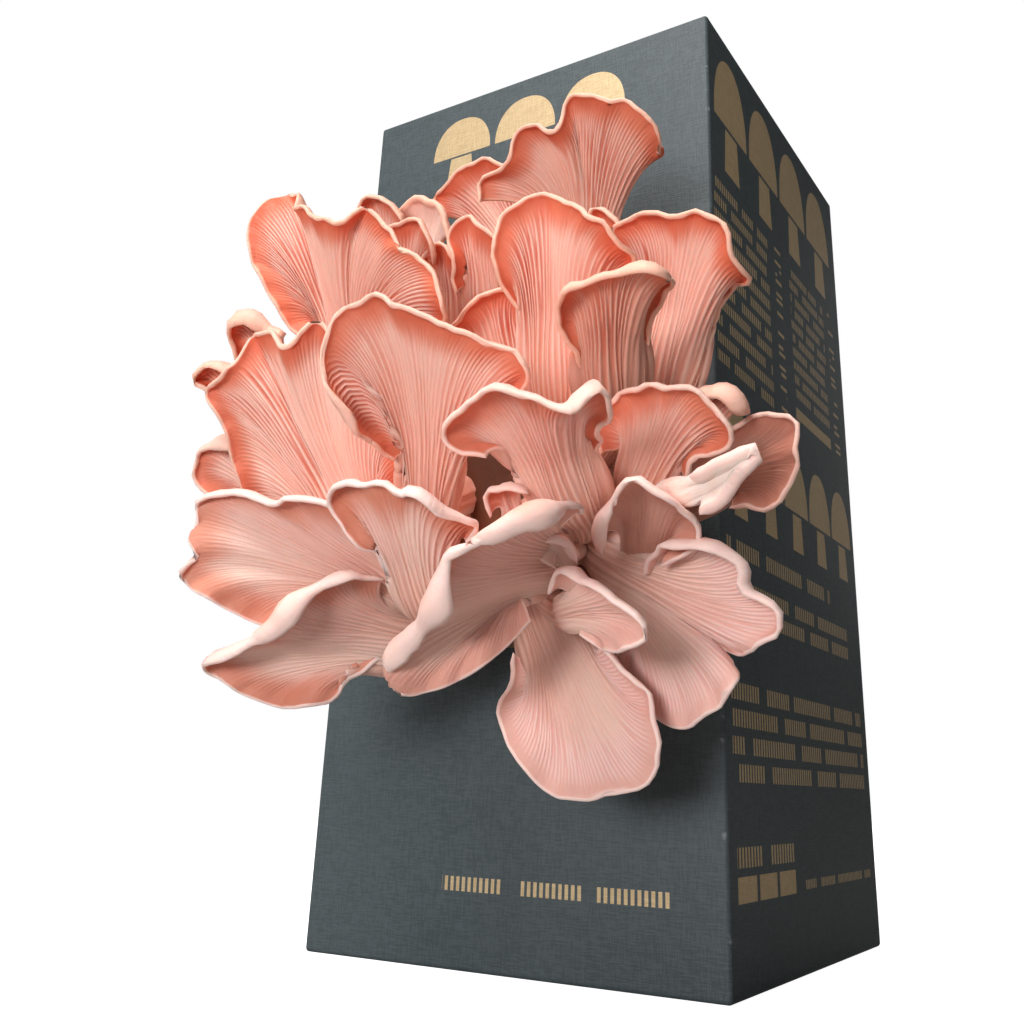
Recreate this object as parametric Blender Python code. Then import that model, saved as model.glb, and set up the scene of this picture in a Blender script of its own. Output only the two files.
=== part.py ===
"""Oyster mushroom grow kit: a tall dark carton with a bagged grow block inside, and a cluster
of pink oyster mushrooms that has grown out through the window in its front.

Design values are in millimetres. The origin is the middle of the carton's base, +Z is up and the
carton's front looks along -Y. A point of the growth is written (x, out, z), where out is its
distance in front of the carton's front face.
"""
import math

import bmesh
import bpy
import numpy as np

MM = 0.001

# The carton: one folded sheet of board, square in plan
CARTON_SIDE = 132.0
CARTON_HEIGHT = 280.0
BOARD = 1.6
FOLD_RADIUS = 1.2
WINDOW_HALF_WIDTH = 40.0
WINDOW_BOTTOM = 84.0
WINDOW_TOP = 178.0
WINDOW_CORNER = 14.0
LID_GROOVE = 0.5
LID_GROOVE_DEPTH = 0.7

# The bagged block of substrate that fills the carton
BLOCK_GAP = 1.2
BLOCK_HEIGHT = 262.0
BLOCK_ROUND = 9.0

# The lump of grown-together stems that comes out of the window
CLUMP_MIDDLE = (9.0, 10.0, 130.0)
CLUMP_REACH = (29.0, 31.0, 43.0)
CLUMP_LUMPS = 1.6

# What all mushrooms share
FIT_GAP = 0.35
TRIM_GAP = 0.6
MARGIN_THICKNESS = 3.0
FLESH_THICKNESS = 5.0
STEM_FLATNESS = 0.9
ROLL_RADIUS = 2.5
CURVE_STEPS = 24
SMALL_COLUMNS = 9

FRONT = -CARTON_SIDE / 2


class Mushroom:
    """A cap and its stem, grown as one.

    foot is where the stem leaves the clump, root where it starts to widen, and throat where the
    gills begin to spread. margin lists points along the cap's edge, clockwise as the gill side is
    seen. roll is how far the edge curls over, in degrees, and radius how wide the curl is, both at
    even steps along the margin.
    """

    def __init__(self, foot, root, throat, margin, stem, columns=10, rows=4, roll=70.0,
                 radius=ROLL_RADIUS, hollow=2.0, lip=0.35, trims=()):
        self.foot = foot
        self.root = root
        self.throat = throat
        self.margin = margin
        self.stem = stem
        self.columns = columns
        self.rows = rows
        self.roll = roll
        self.radius = radius
        self.hollow = hollow
        self.lip = lip
        self.trims = trims


MUSHROOMS = {
    "crest_mushroom": Mushroom(
        foot=(21, 13, 158), root=(34, 14, 190), throat=(39, 23, 202), stem=6, columns=12,
        margin=[(8, 34, 212), (12, 36, 220), (24, 42, 222), (37, 48, 219), (41, 40, 232),
                (54, 46, 224), (62, 40, 221), (62, 29, 218), (55, 26, 213), (50, 25, 203)],
        roll=(90, 50, 60, 60, 90)),
    "crest_side_mushroom": Mushroom(
        foot=(8, 8, 160), root=(12, 9, 198), throat=(4, 14, 212), stem=5, columns=8,
        margin=[(-19, 22, 217), (-18, 24, 225), (-8, 28, 228), (5, 28, 229), (17, 24, 223)],
        roll=50),
    "back_left_mushroom": Mushroom(
        foot=(-8, 10, 152), root=(-38, 16, 194), throat=(-35, 26, 206), stem=4, columns=7, rows=3,
        margin=[(-42, 36, 215), (-34, 38, 220), (-26, 40, 219), (-21, 38, 215), (-18, 36, 210)],
        roll=90),
    "back_pale_mushroom": Mushroom(
        foot=(0, 10, 158), root=(-24, 16, 192), throat=(-21, 24, 206), stem=4, columns=7, rows=3,
        margin=[(-29, 30, 217), (-22, 32, 220), (-14, 32, 216), (-10, 30, 208)]),
    "back_fan_mushroom": Mushroom(
        foot=(-4, 22, 150), root=(-23, 26, 178), throat=(-15, 38, 188), stem=5, columns=8, rows=3,
        margin=[(-19, 48, 196), (-15, 50, 201), (-5, 52, 200), (4, 52, 193), (4, 48, 185)]),
    "upper_slim_mushroom": Mushroom(
        foot=(8, 20, 154), root=(8, 30, 172), throat=(12, 40, 180), stem=5, columns=8,
        margin=[(6, 44, 176), (7, 48, 191), (14, 50, 195), (22, 50, 190), (26, 46, 178)],
        roll=50),
    "upper_bud": Mushroom(
        foot=(0, 24, 148), root=(-3, 34, 171), throat=(1, 40, 178), stem=3, columns=6, rows=3,
        margin=[(-4, 43, 181), (-2, 45, 187), (3, 45, 188), (7, 44, 183)]),
    "upper_trumpet": Mushroom(
        foot=(26, 26, 140), root=(40, 42, 141), throat=(47, 57, 152), stem=8, columns=12,
        margin=[(40, 62, 157), (38, 69, 164), (39, 72, 171), (46, 72, 179), (55, 70, 180),
                (65, 74, 170), (73, 70, 164), (72, 60, 160)],
        roll=(60, 60, 50, 60, 60)),
    "upper_sliver_mushroom": Mushroom(
        foot=(26, 16, 148), root=(43, 20, 173), throat=(47, 30, 182), stem=4, columns=6, rows=3,
        margin=[(44, 38, 191), (51, 40, 193), (57, 40, 188), (60, 36, 182)]),
    "upper_right_mushroom": Mushroom(
        foot=(31, 18, 138), root=(64, 27, 142), throat=(73, 40, 154), stem=8, columns=12,
        margin=[(61, 46, 168), (60, 50, 178), (66, 53, 179), (75, 56, 176), (84, 57, 175),
                (90, 56, 171), (94, 52, 163), (93, 45, 160), (86, 38, 162), (80, 34, 155)],
        roll=(60, 70, 70, 70, 60, 80)),
    "right_trumpet": Mushroom(
        foot=(33, 28, 122), root=(58, 46, 135), throat=(65, 61, 143), stem=8, columns=10,
        margin=[(56, 60, 138), (56, 66, 143), (58, 72, 150), (64, 77, 151), (73, 80, 151),
                (82, 80, 150), (87, 76, 149), (85, 70, 151), (78, 62, 151), (73, 56, 143)],
        roll=(60, 100, 120, 110, 90, 60), radius=(1.5, 2.4, 2.6, 2.4, 1.6, 1.6),
        trims=("upper_trumpet",)),
    "wedge_mushroom": Mushroom(
        foot=(17, 30, 136), root=(25, 38, 145), throat=(27, 49, 153), stem=5, columns=7, rows=3,
        margin=[(15, 58, 156), (20, 60, 161), (29, 58, 165), (35, 54, 167), (37, 50, 159)],
        roll=60, trims=("upper_trumpet",)),
    "high_left_mushroom": Mushroom(
        foot=(-8, 26, 138), root=(-26, 42, 158), throat=(-22, 58, 168), stem=7, columns=13,
        margin=[(-27, 68, 161), (-33, 74, 176), (-42, 76, 192), (-44, 71, 204), (-35, 70, 206),
                (-15, 76, 189), (-6, 70, 193), (8, 74, 180), (17, 72, 171), (25, 70, 159),
                (20, 64, 155)],
        roll=(50, 50, 30, 60, 60, 60)),
    "left_high_bud": Mushroom(
        foot=(-13, 18, 135), root=(-37, 54, 146), throat=(-38, 66, 154), stem=4, columns=7, rows=3,
        margin=[(-46, 70, 155), (-46, 74, 164), (-38, 75, 168), (-26, 72, 160)],
        roll=(90, 170, 170), radius=(2, 3, 2)),
    "left_low_bud": Mushroom(
        foot=(-14, 24, 126), root=(-36, 56, 136), throat=(-41, 70, 143), stem=4, columns=7, rows=3,
        margin=[(-44, 76, 142), (-51, 80, 148), (-45, 82, 152), (-35, 78, 149)],
        roll=120),
    "left_fan_mushroom": Mushroom(
        foot=(-5, 30, 116), root=(-6, 50, 105), throat=(-6, 67, 110), stem=8, columns=12,
        margin=[(-35, 66, 110), (-39, 70, 120), (-38, 78, 134), (-42, 82, 143), (-29, 86, 145),
                (-25, 84, 154), (-18, 87, 152), (-11, 88, 147), (-1, 87, 151), (5, 82, 141),
                (10, 73, 127), (7, 66, 114)],
        roll=(60, 90, 60, 80, 60), trims=("lower_left_mushroom",)),
    "left_rear_mushroom": Mushroom(
        foot=(-12, 16, 112), root=(-31, 42, 115), throat=(-40, 56, 121), stem=6, columns=8,
        margin=[(-58, 62, 119), (-64, 64, 128), (-60, 66, 135), (-46, 66, 135), (-37, 64, 129),
                (-31, 60, 122)],
        roll=(60, 110, 170, 170, 100), radius=(1.5, 2, 2.4, 2.4, 2)),
    "great_trumpet": Mushroom(
        foot=(11, 32, 122), root=(10, 52, 112), throat=(24, 71, 117), stem=7, columns=12,
        margin=[(12, 77, 121), (12, 85, 127), (14, 92, 134), (12, 97, 142), (20, 97, 148),
                (31, 98, 146), (38, 94, 142), (46, 92, 138), (54, 88, 135), (57, 83, 129),
                (44, 75, 123), (31, 70, 117)],
        roll=60),
    "centre_fan_mushroom": Mushroom(
        foot=(29, 30, 112), root=(52, 52, 109), throat=(55, 67, 114), stem=8, columns=12,
        margin=[(50, 76, 109), (42, 85, 114), (39, 87, 119), (45, 89, 122), (52, 91, 124),
                (62, 91, 122), (70, 90, 118), (76, 87, 122), (76, 80, 120), (71, 73, 119),
                (63, 62, 116)],
        roll=60, trims=("right_trumpet",)),
    "right_fan_mushroom": Mushroom(
        foot=(34, 17, 115), root=(63, 40, 113), throat=(73, 54, 118), stem=6, columns=10,
        margin=[(58, 51, 121), (60, 56, 128), (68, 61, 131), (76, 65, 129), (87, 66, 127),
                (92, 63, 124), (94, 60, 119), (90, 55, 116), (84, 52, 116), (79, 48, 112)],
        roll=60, trims=("centre_fan_mushroom",)),
    "right_rear_mushroom": Mushroom(
        foot=(34, 12, 128), root=(66, 18, 131), throat=(74, 24, 136), stem=4, columns=6, rows=3,
        margin=[(75, 34, 141), (82, 36, 139), (87, 36, 136), (89, 32, 131)],
        roll=150),
    "right_ear_mushroom": Mushroom(
        foot=(33, 8, 121), root=(61, 12, 117), throat=(73, 18, 122), stem=6, columns=10,
        margin=[(76, 24, 129), (84, 28, 131), (90, 29, 133), (96, 29, 130), (98, 28, 125),
                (98, 26, 120), (94, 23, 115), (87, 20, 111), (77, 17, 112)],
        roll=60),
    "pale_finger_mushroom": Mushroom(
        foot=(60, 38, 112), root=(75, 50, 109), throat=(83, 58, 106), stem=3, columns=9, rows=3,
        margin=[(86, 63, 109), (91, 66, 108), (97, 69, 109), (103, 70, 110), (104, 69, 108),
                (100, 68, 106), (96, 65, 104), (91, 62, 101), (87, 59, 100)],
        roll=40, trims=("right_fan_mushroom", "side_cup_mushroom")),
    "side_cup_mushroom": Mushroom(
        foot=(32, 12, 106), root=(53, 24, 94), throat=(60, 34, 93), stem=5, columns=10,
        margin=[(58, 56, 101), (64, 62, 105), (70, 67, 108), (77, 67, 108), (83, 60, 104),
                (83, 54, 101), (78, 52, 99)],
        roll=60, hollow=8, trims=("lower_right_mushroom",)),
    "young_cup_mushroom": Mushroom(
        foot=(29, 39, 106), root=(36, 52, 102), throat=(40, 60, 104), stem=2.5, columns=6, rows=3,
        margin=[(36, 66, 106), (38, 68, 110), (44, 70, 110), (50, 69, 109)],
        trims=("centre_fan_mushroom", "rolled_fan_mushroom")),
    "middle_knob": Mushroom(
        foot=(46, 42, 100), root=(48, 50, 97), throat=(50, 57, 96), stem=3, columns=6, rows=3,
        margin=[(46, 60, 93), (48, 62, 97), (52, 62, 98), (55, 60, 95)],
        roll=60, trims=("rolled_fan_mushroom", "centre_fan_mushroom")),
    "small_middle_mushroom": Mushroom(
        foot=(25, 24, 94), root=(46, 44, 85), throat=(53, 54, 84), stem=4, columns=9,
        margin=[(51, 58, 90), (58, 62, 92), (64, 64, 89), (70, 66, 85), (75, 65, 79),
                (74, 63, 75), (69, 60, 73), (62, 56, 74), (54, 53, 78)],
        roll=(120, 130, 60, 50, 50), trims=("rolled_fan_mushroom", "hanging_mushroom")),
    "rolled_fan_mushroom": Mushroom(
        foot=(22, 33, 103), root=(39, 46, 95), throat=(40, 58, 90), stem=6.5, columns=12,
        margin=[(41, 58, 79), (36, 62, 73), (30, 64, 68), (22, 70, 64), (19, 78, 70),
                (30, 84, 76), (44, 88, 82), (44, 90, 90), (52, 88, 95), (58, 80, 102),
                (60, 68, 106)],
        roll=(50, 60, 120, 180, 200, 200), radius=3.5, trims=("centre_fan_mushroom",)),
    "small_trumpet": Mushroom(
        foot=(17, 32, 98), root=(22, 62, 84), throat=(28, 79, 91), stem=5, columns=10,
        margin=[(25, 82, 88), (14, 86, 96), (16, 92, 105), (25, 96, 108), (30, 92, 105),
                (41, 96, 103), (45, 95, 99), (53, 94, 99), (49, 91, 95), (38, 84, 91)],
        roll=(60, 110, 110, 110, 90), trims=("rolled_fan_mushroom",)),
    "lower_left_mushroom": Mushroom(
        foot=(2, 24, 99), root=(5, 46, 93), throat=(4, 60, 94), stem=8, columns=12,
        margin=[(-14, 62, 81), (-27, 69, 83), (-38, 77, 89), (-44, 80, 94), (-40, 81, 100),
                (-41, 82, 104), (-39, 82, 108), (-37, 83, 112), (-29, 82, 114), (-18, 82, 112),
                (-12, 81, 110), (-6, 81, 110), (3, 79, 108), (9, 72, 103)],
        roll=(50, 50, 70, 100, 100, 80, 60)),
    "bottom_left_mushroom": Mushroom(
        foot=(3, 13, 93), root=(-1, 38, 81), throat=(-6, 52, 79), stem=7, columns=12,
        margin=[(-13, 53, 72), (-15, 56, 65), (-21, 59, 63), (-32, 61, 65), (-40, 65, 69),
                (-42, 70, 75), (-30, 74, 78), (-19, 76, 82), (-12, 75, 87), (-6, 68, 90)],
        roll=(50, 50, 50, 60, 150, 180, 180, 150), radius=(1.5, 1.5, 1.5, 2, 3, 3, 3, 2),
        trims=("lower_left_mushroom",)),
    "lower_right_mushroom": Mushroom(
        foot=(31, 24, 103), root=(48, 32, 96), throat=(62, 37, 89), stem=6, columns=12,
        margin=[(68, 44, 94), (75, 48, 99), (84, 48, 98), (93, 46, 94), (91, 40, 89),
                (96, 40, 83), (91, 38, 75), (79, 32, 76), (84, 36, 68), (75, 34, 62),
                (65, 30, 60), (54, 26, 68), (48, 24, 77)],
        roll=(60, 150, 140, 60, 50, 50, 50), trims=("hanging_mushroom", "centre_fan_mushroom")),
    "hanging_mushroom": Mushroom(
        foot=(18, 14, 100), root=(28, 22, 89), throat=(37, 31, 76), stem=9, columns=12,
        margin=[(52, 36, 79), (61, 36, 68), (67, 38, 57), (62, 36, 48), (50, 36, 44),
                (38, 36, 45), (29, 38, 52), (24, 38, 61), (24, 34, 69), (23, 30, 76)],
        roll=(150, 60, 50, 50, 60, 90)),
}


def clear_scene():
    """Start from an empty scene."""
    for item in list(bpy.data.objects):
        bpy.data.objects.remove(item, do_unlink=True)


def finish_material(name, colour, roughness, metallic=0.0):
    """A plain finish: colour, roughness and metallic value."""
    material = bpy.data.materials.new(name)
    material.use_nodes = True
    shader = material.node_tree.nodes["Principled BSDF"]
    shader.inputs["Base Color"].default_value = (*colour, 1.0)
    shader.inputs["Roughness"].default_value = roughness
    shader.inputs["Metallic"].default_value = metallic
    return material


def object_from_mesh(name, bm, material):
    """Put a bmesh into the scene as an object with its material."""
    mesh = bpy.data.meshes.new(name)
    bmesh.ops.recalc_face_normals(bm, faces=bm.faces)
    bm.to_mesh(mesh)
    bm.free()
    mesh.materials.append(material)
    item = bpy.data.objects.new(name, mesh)
    bpy.context.scene.collection.objects.link(item)
    return item


def make_cutter(item):
    """A tool shape that isn't part of the kit."""
    item.hide_render = True
    item.display_type = "WIRE"
    return item


def cut(item, cutter):
    """Take a cutter's space out of an object."""
    modifier = item.modifiers.new("Clear of " + cutter.name, "BOOLEAN")
    modifier.operation = "DIFFERENCE"
    modifier.solver = "EXACT"
    modifier.use_self = True
    modifier.object = cutter


def box_mesh(low, high, round_by=0.0, segments=2):
    """A box between two corners in millimetres, with its edges rounded."""
    bm = bmesh.new()
    bmesh.ops.create_cube(bm, size=1.0)
    middle = [(a + b) / 2 * MM for a, b in zip(low, high)]
    sides = [(b - a) * MM for a, b in zip(low, high)]
    bmesh.ops.scale(bm, vec=sides, verts=bm.verts)
    bmesh.ops.translate(bm, vec=middle, verts=bm.verts)
    if round_by:
        bmesh.ops.bevel(bm, geom=list(bm.edges), offset=round_by * MM, segments=segments,
                        profile=0.5, affect="EDGES", clamp_overlap=True)
    return bm


def window_outline(corner_steps=4):
    """The window's outline with round corners, as (x, z)."""
    middle_z = (WINDOW_BOTTOM + WINDOW_TOP) / 2
    half_height = (WINDOW_TOP - WINDOW_BOTTOM) / 2
    outline = []
    for quarter, (sx, sz) in enumerate(((1, 1), (-1, 1), (-1, -1), (1, -1))):
        for step in range(corner_steps + 1):
            angle = math.radians(90 * (quarter + step / corner_steps))
            x = sx * (WINDOW_HALF_WIDTH - WINDOW_CORNER) + WINDOW_CORNER * math.cos(angle)
            z = middle_z + sz * (half_height - WINDOW_CORNER) + WINDOW_CORNER * math.sin(angle)
            outline.append((x, z))
    return outline


def window_mesh():
    """A slab with the window's outline, through the front board."""
    bm = bmesh.new()
    near = [bm.verts.new((x * MM, (FRONT - 2) * MM, z * MM)) for x, z in window_outline()]
    face = bm.faces.new(near)
    pushed = bmesh.ops.extrude_face_region(bm, geom=[face])
    moved = [v for v in pushed["geom"] if isinstance(v, bmesh.types.BMVert)]
    bmesh.ops.translate(bm, vec=(0, (BOARD + 4) * MM, 0), verts=moved)
    bmesh.ops.recalc_face_normals(bm, faces=bm.faces)
    return bm


def lid_groove_mesh():
    """The slit on the top's left, front and right where the tuck lid meets the walls."""
    half = CARTON_SIDE / 2 - 2 * BOARD
    outer = [(-half, half), (-half, -half), (half, -half), (half, half)]
    inner_half = half - LID_GROOVE
    inner = [(inner_half, half), (inner_half, -inner_half), (-inner_half, -inner_half),
             (-inner_half, half)]
    bm = bmesh.new()
    low = CARTON_HEIGHT - LID_GROOVE_DEPTH
    face = bm.faces.new([bm.verts.new((x * MM, y * MM, low * MM)) for x, y in outer + inner])
    pushed = bmesh.ops.extrude_face_region(bm, geom=[face])
    moved = [v for v in pushed["geom"] if isinstance(v, bmesh.types.BMVert)]
    bmesh.ops.translate(bm, vec=(0, 0, (LID_GROOVE_DEPTH + 1) * MM), verts=moved)
    bmesh.ops.recalc_face_normals(bm, faces=bm.faces)
    return bm


def make_carton(board_material):
    """The closed carton, hollow, with its window and the slit around its lid."""
    half = CARTON_SIDE / 2
    outside = box_mesh((-half, -half, 0), (half, half, CARTON_HEIGHT), FOLD_RADIUS, 2)
    carton = object_from_mesh("carton", outside, board_material)
    inside = half - BOARD
    cavity = box_mesh((-inside, -inside, BOARD), (inside, inside, CARTON_HEIGHT - BOARD))
    for name, bm in (("carton_cavity", cavity), ("carton_window", window_mesh()),
                     ("carton_lid_slit", lid_groove_mesh())):
        cut(carton, make_cutter(object_from_mesh(name, bm, board_material)))
    return carton


def make_grow_block(film_material):
    """The substrate block in its film bag, standing inside the carton."""
    half = CARTON_SIDE / 2 - BOARD - BLOCK_GAP
    low = BOARD + FIT_GAP
    bm = box_mesh((-half, -half, low), (half, half, BLOCK_HEIGHT), BLOCK_ROUND, 2)
    return object_from_mesh("grow_block", bm, film_material)


def clump_mesh(extra=0.0):
    """The lump of grown-together stems, flat where it sits on the block; extra makes it larger."""
    bm = bmesh.new()
    bmesh.ops.create_icosphere(bm, subdivisions=3, radius=1.0)
    back = CARTON_SIDE / 2 - BOARD - BLOCK_GAP + FIT_GAP
    for vert in bm.verts:
        way = vert.co.normalized()
        lumps = math.sin(5 * way.x + 2) * math.sin(6 * way.z + 1) + 0.6 * math.sin(9 * way.y + 4 * way.z)
        reach = [r + CLUMP_LUMPS * lumps + extra for r in CLUMP_REACH]
        x = CLUMP_MIDDLE[0] + reach[0] * way.x
        y = FRONT - CLUMP_MIDDLE[1] + reach[1] * way.y
        z = CLUMP_MIDDLE[2] + reach[2] * way.z
        vert.co = (x * MM, min(y, -back) * MM, z * MM)
    bmesh.ops.remove_doubles(bm, verts=bm.verts, dist=0.02 * MM)
    return bm


def place(point):
    """A point (x, out, z) in millimetres to the kit's own frame."""
    point = np.asarray(point, float)
    return np.array([point[0], FRONT - point[1], point[2]])


def unit(vectors):
    """Vectors scaled to length one."""
    size = np.linalg.norm(vectors, axis=-1, keepdims=True)
    return vectors / np.maximum(size, 1e-9)


def ease(start, stop, value):
    """A smooth step from 0 at start to 1 at stop."""
    t = np.clip((value - start) / (stop - start), 0, 1)
    return t * t * (3 - 2 * t)


def along_points(points, shares):
    """Points at the given shares of the length of a smooth curve through the points."""
    p = np.array([place(point) for point in points])
    ends = np.vstack([2 * p[0] - p[1], p, 2 * p[-1] - p[-2]])
    t = np.linspace(0, 1, CURVE_STEPS, endpoint=False)[:, None]
    runs = []
    for a, b, c, d in zip(ends, ends[1:], ends[2:], ends[3:]):
        runs.append(0.5 * (2 * b + (c - a) * t + (2 * a - 5 * b + 4 * c - d) * t ** 2
                           + (3 * b - a - 3 * c + d) * t ** 3))
    curve = np.vstack(runs + [p[-1:]])
    length = np.r_[0, np.cumsum(np.linalg.norm(np.diff(curve, axis=0), axis=1))]
    return np.stack([np.interp(shares * length[-1], length, curve[:, k]) for k in range(3)], 1)


def across(values, shares):
    """A value at each share of the margin, from one number or a few evenly spaced ones."""
    values = np.atleast_1d(np.asarray(values, float))
    return np.interp(shares, np.linspace(0, 1, len(values)), values)[:, None]


def bezier(a, b, c, d, t):
    """Cubic curves between a and d, one for each row of points."""
    a, b, c, d = (q[:, None] for q in (a, b, c, d))
    t = t[None, :, None]
    return (1 - t) ** 3 * a + 3 * (1 - t) ** 2 * t * b + 3 * (1 - t) * t ** 2 * c + t ** 3 * d


def middle_sheet(m, shares, stem_steps, cap_steps, roll_steps):
    """The sheet halfway between the gills and the skin, as a grid of points."""
    margin = along_points(m.margin, shares)
    foot, root, throat = place(m.foot), place(m.root), place(m.throat)
    along = unit(throat - root)
    chord = margin[-1] - margin[0]
    side = unit(chord - along * (chord @ along))
    front = np.cross(side, along)
    width = (2 * shares - 1)[:, None]
    edge = side * m.stem * width
    neck = throat + edge * 1.5 + front * m.stem * 0.6 * (1 - width ** 2)
    reach = margin - throat
    fan = unit(reach.mean(axis=0))
    outward = unit(reach - 0.5 * fan * (reach @ fan)[:, None])
    turn = np.radians(across(m.roll, shares))
    radius = across(m.radius, shares)
    crest = margin - outward * radius * np.sin(np.minimum(turn, np.pi / 2))
    length = np.linalg.norm(reach, axis=1, keepdims=True)
    belly = crest - outward * m.lip * length - front * m.hollow
    cap = bezier(root + edge, neck, belly, crest, cap_steps)
    third = np.linalg.norm(root - foot) / 3
    stem = bezier(foot + edge, foot + edge + unit(root - foot) * third,
                  root + edge - along * third, root + edge, stem_steps)
    end = unit(crest - belly)
    over = unit(front - end * (end @ front)[:, None])
    angle = turn * roll_steps[None, :]
    roll = crest[:, None] + radius[..., None] * (end[:, None] * np.sin(angle)[..., None]
                                                 + over[:, None] * (1 - np.cos(angle))[..., None])
    return np.concatenate([stem, cap, roll], axis=1)


def sheet_normals(grid):
    """Normals of a grid of points, towards the gills."""
    return unit(np.cross(np.gradient(grid, axis=0), np.gradient(grid, axis=1)))


def half_thickness(m, grid, shares, steps):
    """Half the flesh's thickness over the sheet, round at the stem and thin at the edge."""
    rows = np.linalg.norm(np.diff(grid, axis=1), axis=2)
    to_rim = np.cumsum(rows[:, ::-1], axis=1)[:, ::-1]
    to_rim = np.concatenate([to_rim, np.zeros((len(shares), 1))], axis=1)
    columns = np.cumsum(np.linalg.norm(np.diff(grid, axis=0), axis=2), axis=0)
    from_left = np.vstack([np.zeros((1, grid.shape[1])), columns])
    to_side = np.minimum(from_left, from_left[-1] - from_left)
    near = np.minimum(np.minimum(to_rim, to_side) / (MARGIN_THICKNESS / 2), 1)
    rounding = np.sqrt(1 - (1 - near) ** 2)
    fuller = (FLESH_THICKNESS - MARGIN_THICKNESS) * (1 - steps[None, :]) ** 1.5
    sheet = 0.5 * (MARGIN_THICKNESS + fuller) * rounding
    tube = STEM_FLATNESS * m.stem * np.sqrt(np.clip(1 - (2 * shares - 1) ** 2, 0, 1))[:, None]
    blend = ease(0.0, 0.45, steps)[None, :]
    return tube * (1 - blend) + sheet * blend


def mushroom_mesh(m):
    """The closed skin of one mushroom."""
    shares = np.linspace(0, 1, m.columns)
    stem_rows = 2 if m.columns > SMALL_COLUMNS else 1
    stem_steps = np.linspace(0, 1, stem_rows, endpoint=False)
    cap_steps = np.linspace(0, 1, m.rows + 1) ** 0.95
    roll_steps = np.array([1.0])
    steps = np.r_[np.zeros(stem_rows), cap_steps, 1.0]
    grid = middle_sheet(m, shares, stem_steps, cap_steps, roll_steps)
    normals = sheet_normals(grid)
    half = half_thickness(m, grid, shares, steps)
    gills = (grid + normals * half[..., None]) * MM
    skin = (grid - normals * half[..., None]) * MM
    return closed_skin(gills, skin)


def closed_skin(gills, skin):
    """Join the gill side and the upper skin along the edge and close the foot."""
    columns, rows = gills.shape[:2]
    bm = bmesh.new()
    front = [[bm.verts.new(gills[i, j]) for j in range(rows)] for i in range(columns)]
    back = []
    for i in range(columns):
        on_side = i in (0, columns - 1)
        back.append([front[i][j] if on_side or j == rows - 1 else bm.verts.new(skin[i, j])
                     for j in range(rows)])
    for i in range(columns - 1):
        for j in range(rows - 1):
            for sheet, way in ((front, 1), (back, -1)):
                a, b = sheet[i][j], sheet[i + 1][j]
                c, d = sheet[i + 1][j + 1], sheet[i][j + 1]
                halves = ((a, b, d), (b, c, d)) if i < columns // 2 else ((a, b, c), (a, c, d))
                for corners in halves:
                    bm.faces.new(corners[::way])
    ring = [front[i][0] for i in range(columns)]
    ring += [back[i][0] for i in range(columns - 2, 0, -1)]
    bm.faces.new(ring[::-1])
    bmesh.ops.triangulate(bm, faces=bm.faces)
    return bm


def swell(bm, gap):
    """Move a closed surface outwards by a gap in millimetres."""
    bmesh.ops.recalc_face_normals(bm, faces=bm.faces)
    bm.normal_update()
    moved = [vert.co + vert.normal * gap * MM for vert in bm.verts]
    for vert, point in zip(bm.verts, moved):
        vert.co = point
    return bm


def neighbour_space(name, material):
    """A mushroom's own shape and the gap around it, to cut a neighbour with."""
    space_name = name + "_space"
    if space_name in bpy.data.objects:
        return bpy.data.objects[space_name]
    shape = swell(mushroom_mesh(MUSHROOMS[name]), TRIM_GAP)
    return make_cutter(object_from_mesh(space_name, shape, material))


def make_growth(flesh_material, stem_material):
    """The clump, and each mushroom cut clear of it and of the neighbours that it touches."""
    clump = object_from_mesh("stem_clump", clump_mesh(), stem_material)
    clump_space = make_cutter(object_from_mesh("stem_clump_space", clump_mesh(FIT_GAP), stem_material))
    for name, m in MUSHROOMS.items():
        item = object_from_mesh(name, mushroom_mesh(m), flesh_material)
        item.data.shade_smooth()
        cut(item, clump_space)
        for neighbour in m.trims:
            cut(item, neighbour_space(neighbour, flesh_material))
    clump.data.shade_smooth()


def main():
    """Build the whole kit."""
    clear_scene()
    board = finish_material("dark board", (0.055, 0.070, 0.078), 0.55)
    film = finish_material("bagged substrate", (0.62, 0.56, 0.47), 0.45)
    flesh = finish_material("pink flesh", (0.80, 0.40, 0.30), 0.55)
    stem = finish_material("pale stem flesh", (0.80, 0.60, 0.50), 0.6)
    make_carton(board)
    make_grow_block(film)
    make_growth(flesh, stem)


main()
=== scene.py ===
"""The looks of the oyster mushroom grow kit: the dark carton with its gold foil, the bagged block,
and the cluster of pink oyster mushrooms with their gills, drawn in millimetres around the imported
frame.

A point of the growth is written (x, out, z), where out is its distance in front of the carton's
front face.
"""

import math
from dataclasses import dataclass

import bmesh
import bpy
import numpy as np
from mathutils import Matrix


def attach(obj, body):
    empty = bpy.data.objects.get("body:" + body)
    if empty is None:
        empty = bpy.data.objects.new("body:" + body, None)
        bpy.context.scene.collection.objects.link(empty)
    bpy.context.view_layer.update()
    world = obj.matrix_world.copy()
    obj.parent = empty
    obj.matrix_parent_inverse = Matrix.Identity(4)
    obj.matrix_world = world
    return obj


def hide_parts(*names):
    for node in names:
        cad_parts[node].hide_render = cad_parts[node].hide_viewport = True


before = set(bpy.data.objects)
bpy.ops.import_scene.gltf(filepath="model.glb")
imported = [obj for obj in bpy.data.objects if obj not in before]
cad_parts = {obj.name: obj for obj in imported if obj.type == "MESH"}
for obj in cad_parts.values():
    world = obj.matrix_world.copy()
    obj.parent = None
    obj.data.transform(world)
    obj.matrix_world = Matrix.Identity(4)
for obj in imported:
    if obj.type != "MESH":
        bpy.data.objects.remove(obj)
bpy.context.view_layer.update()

MM = 0.001

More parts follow.
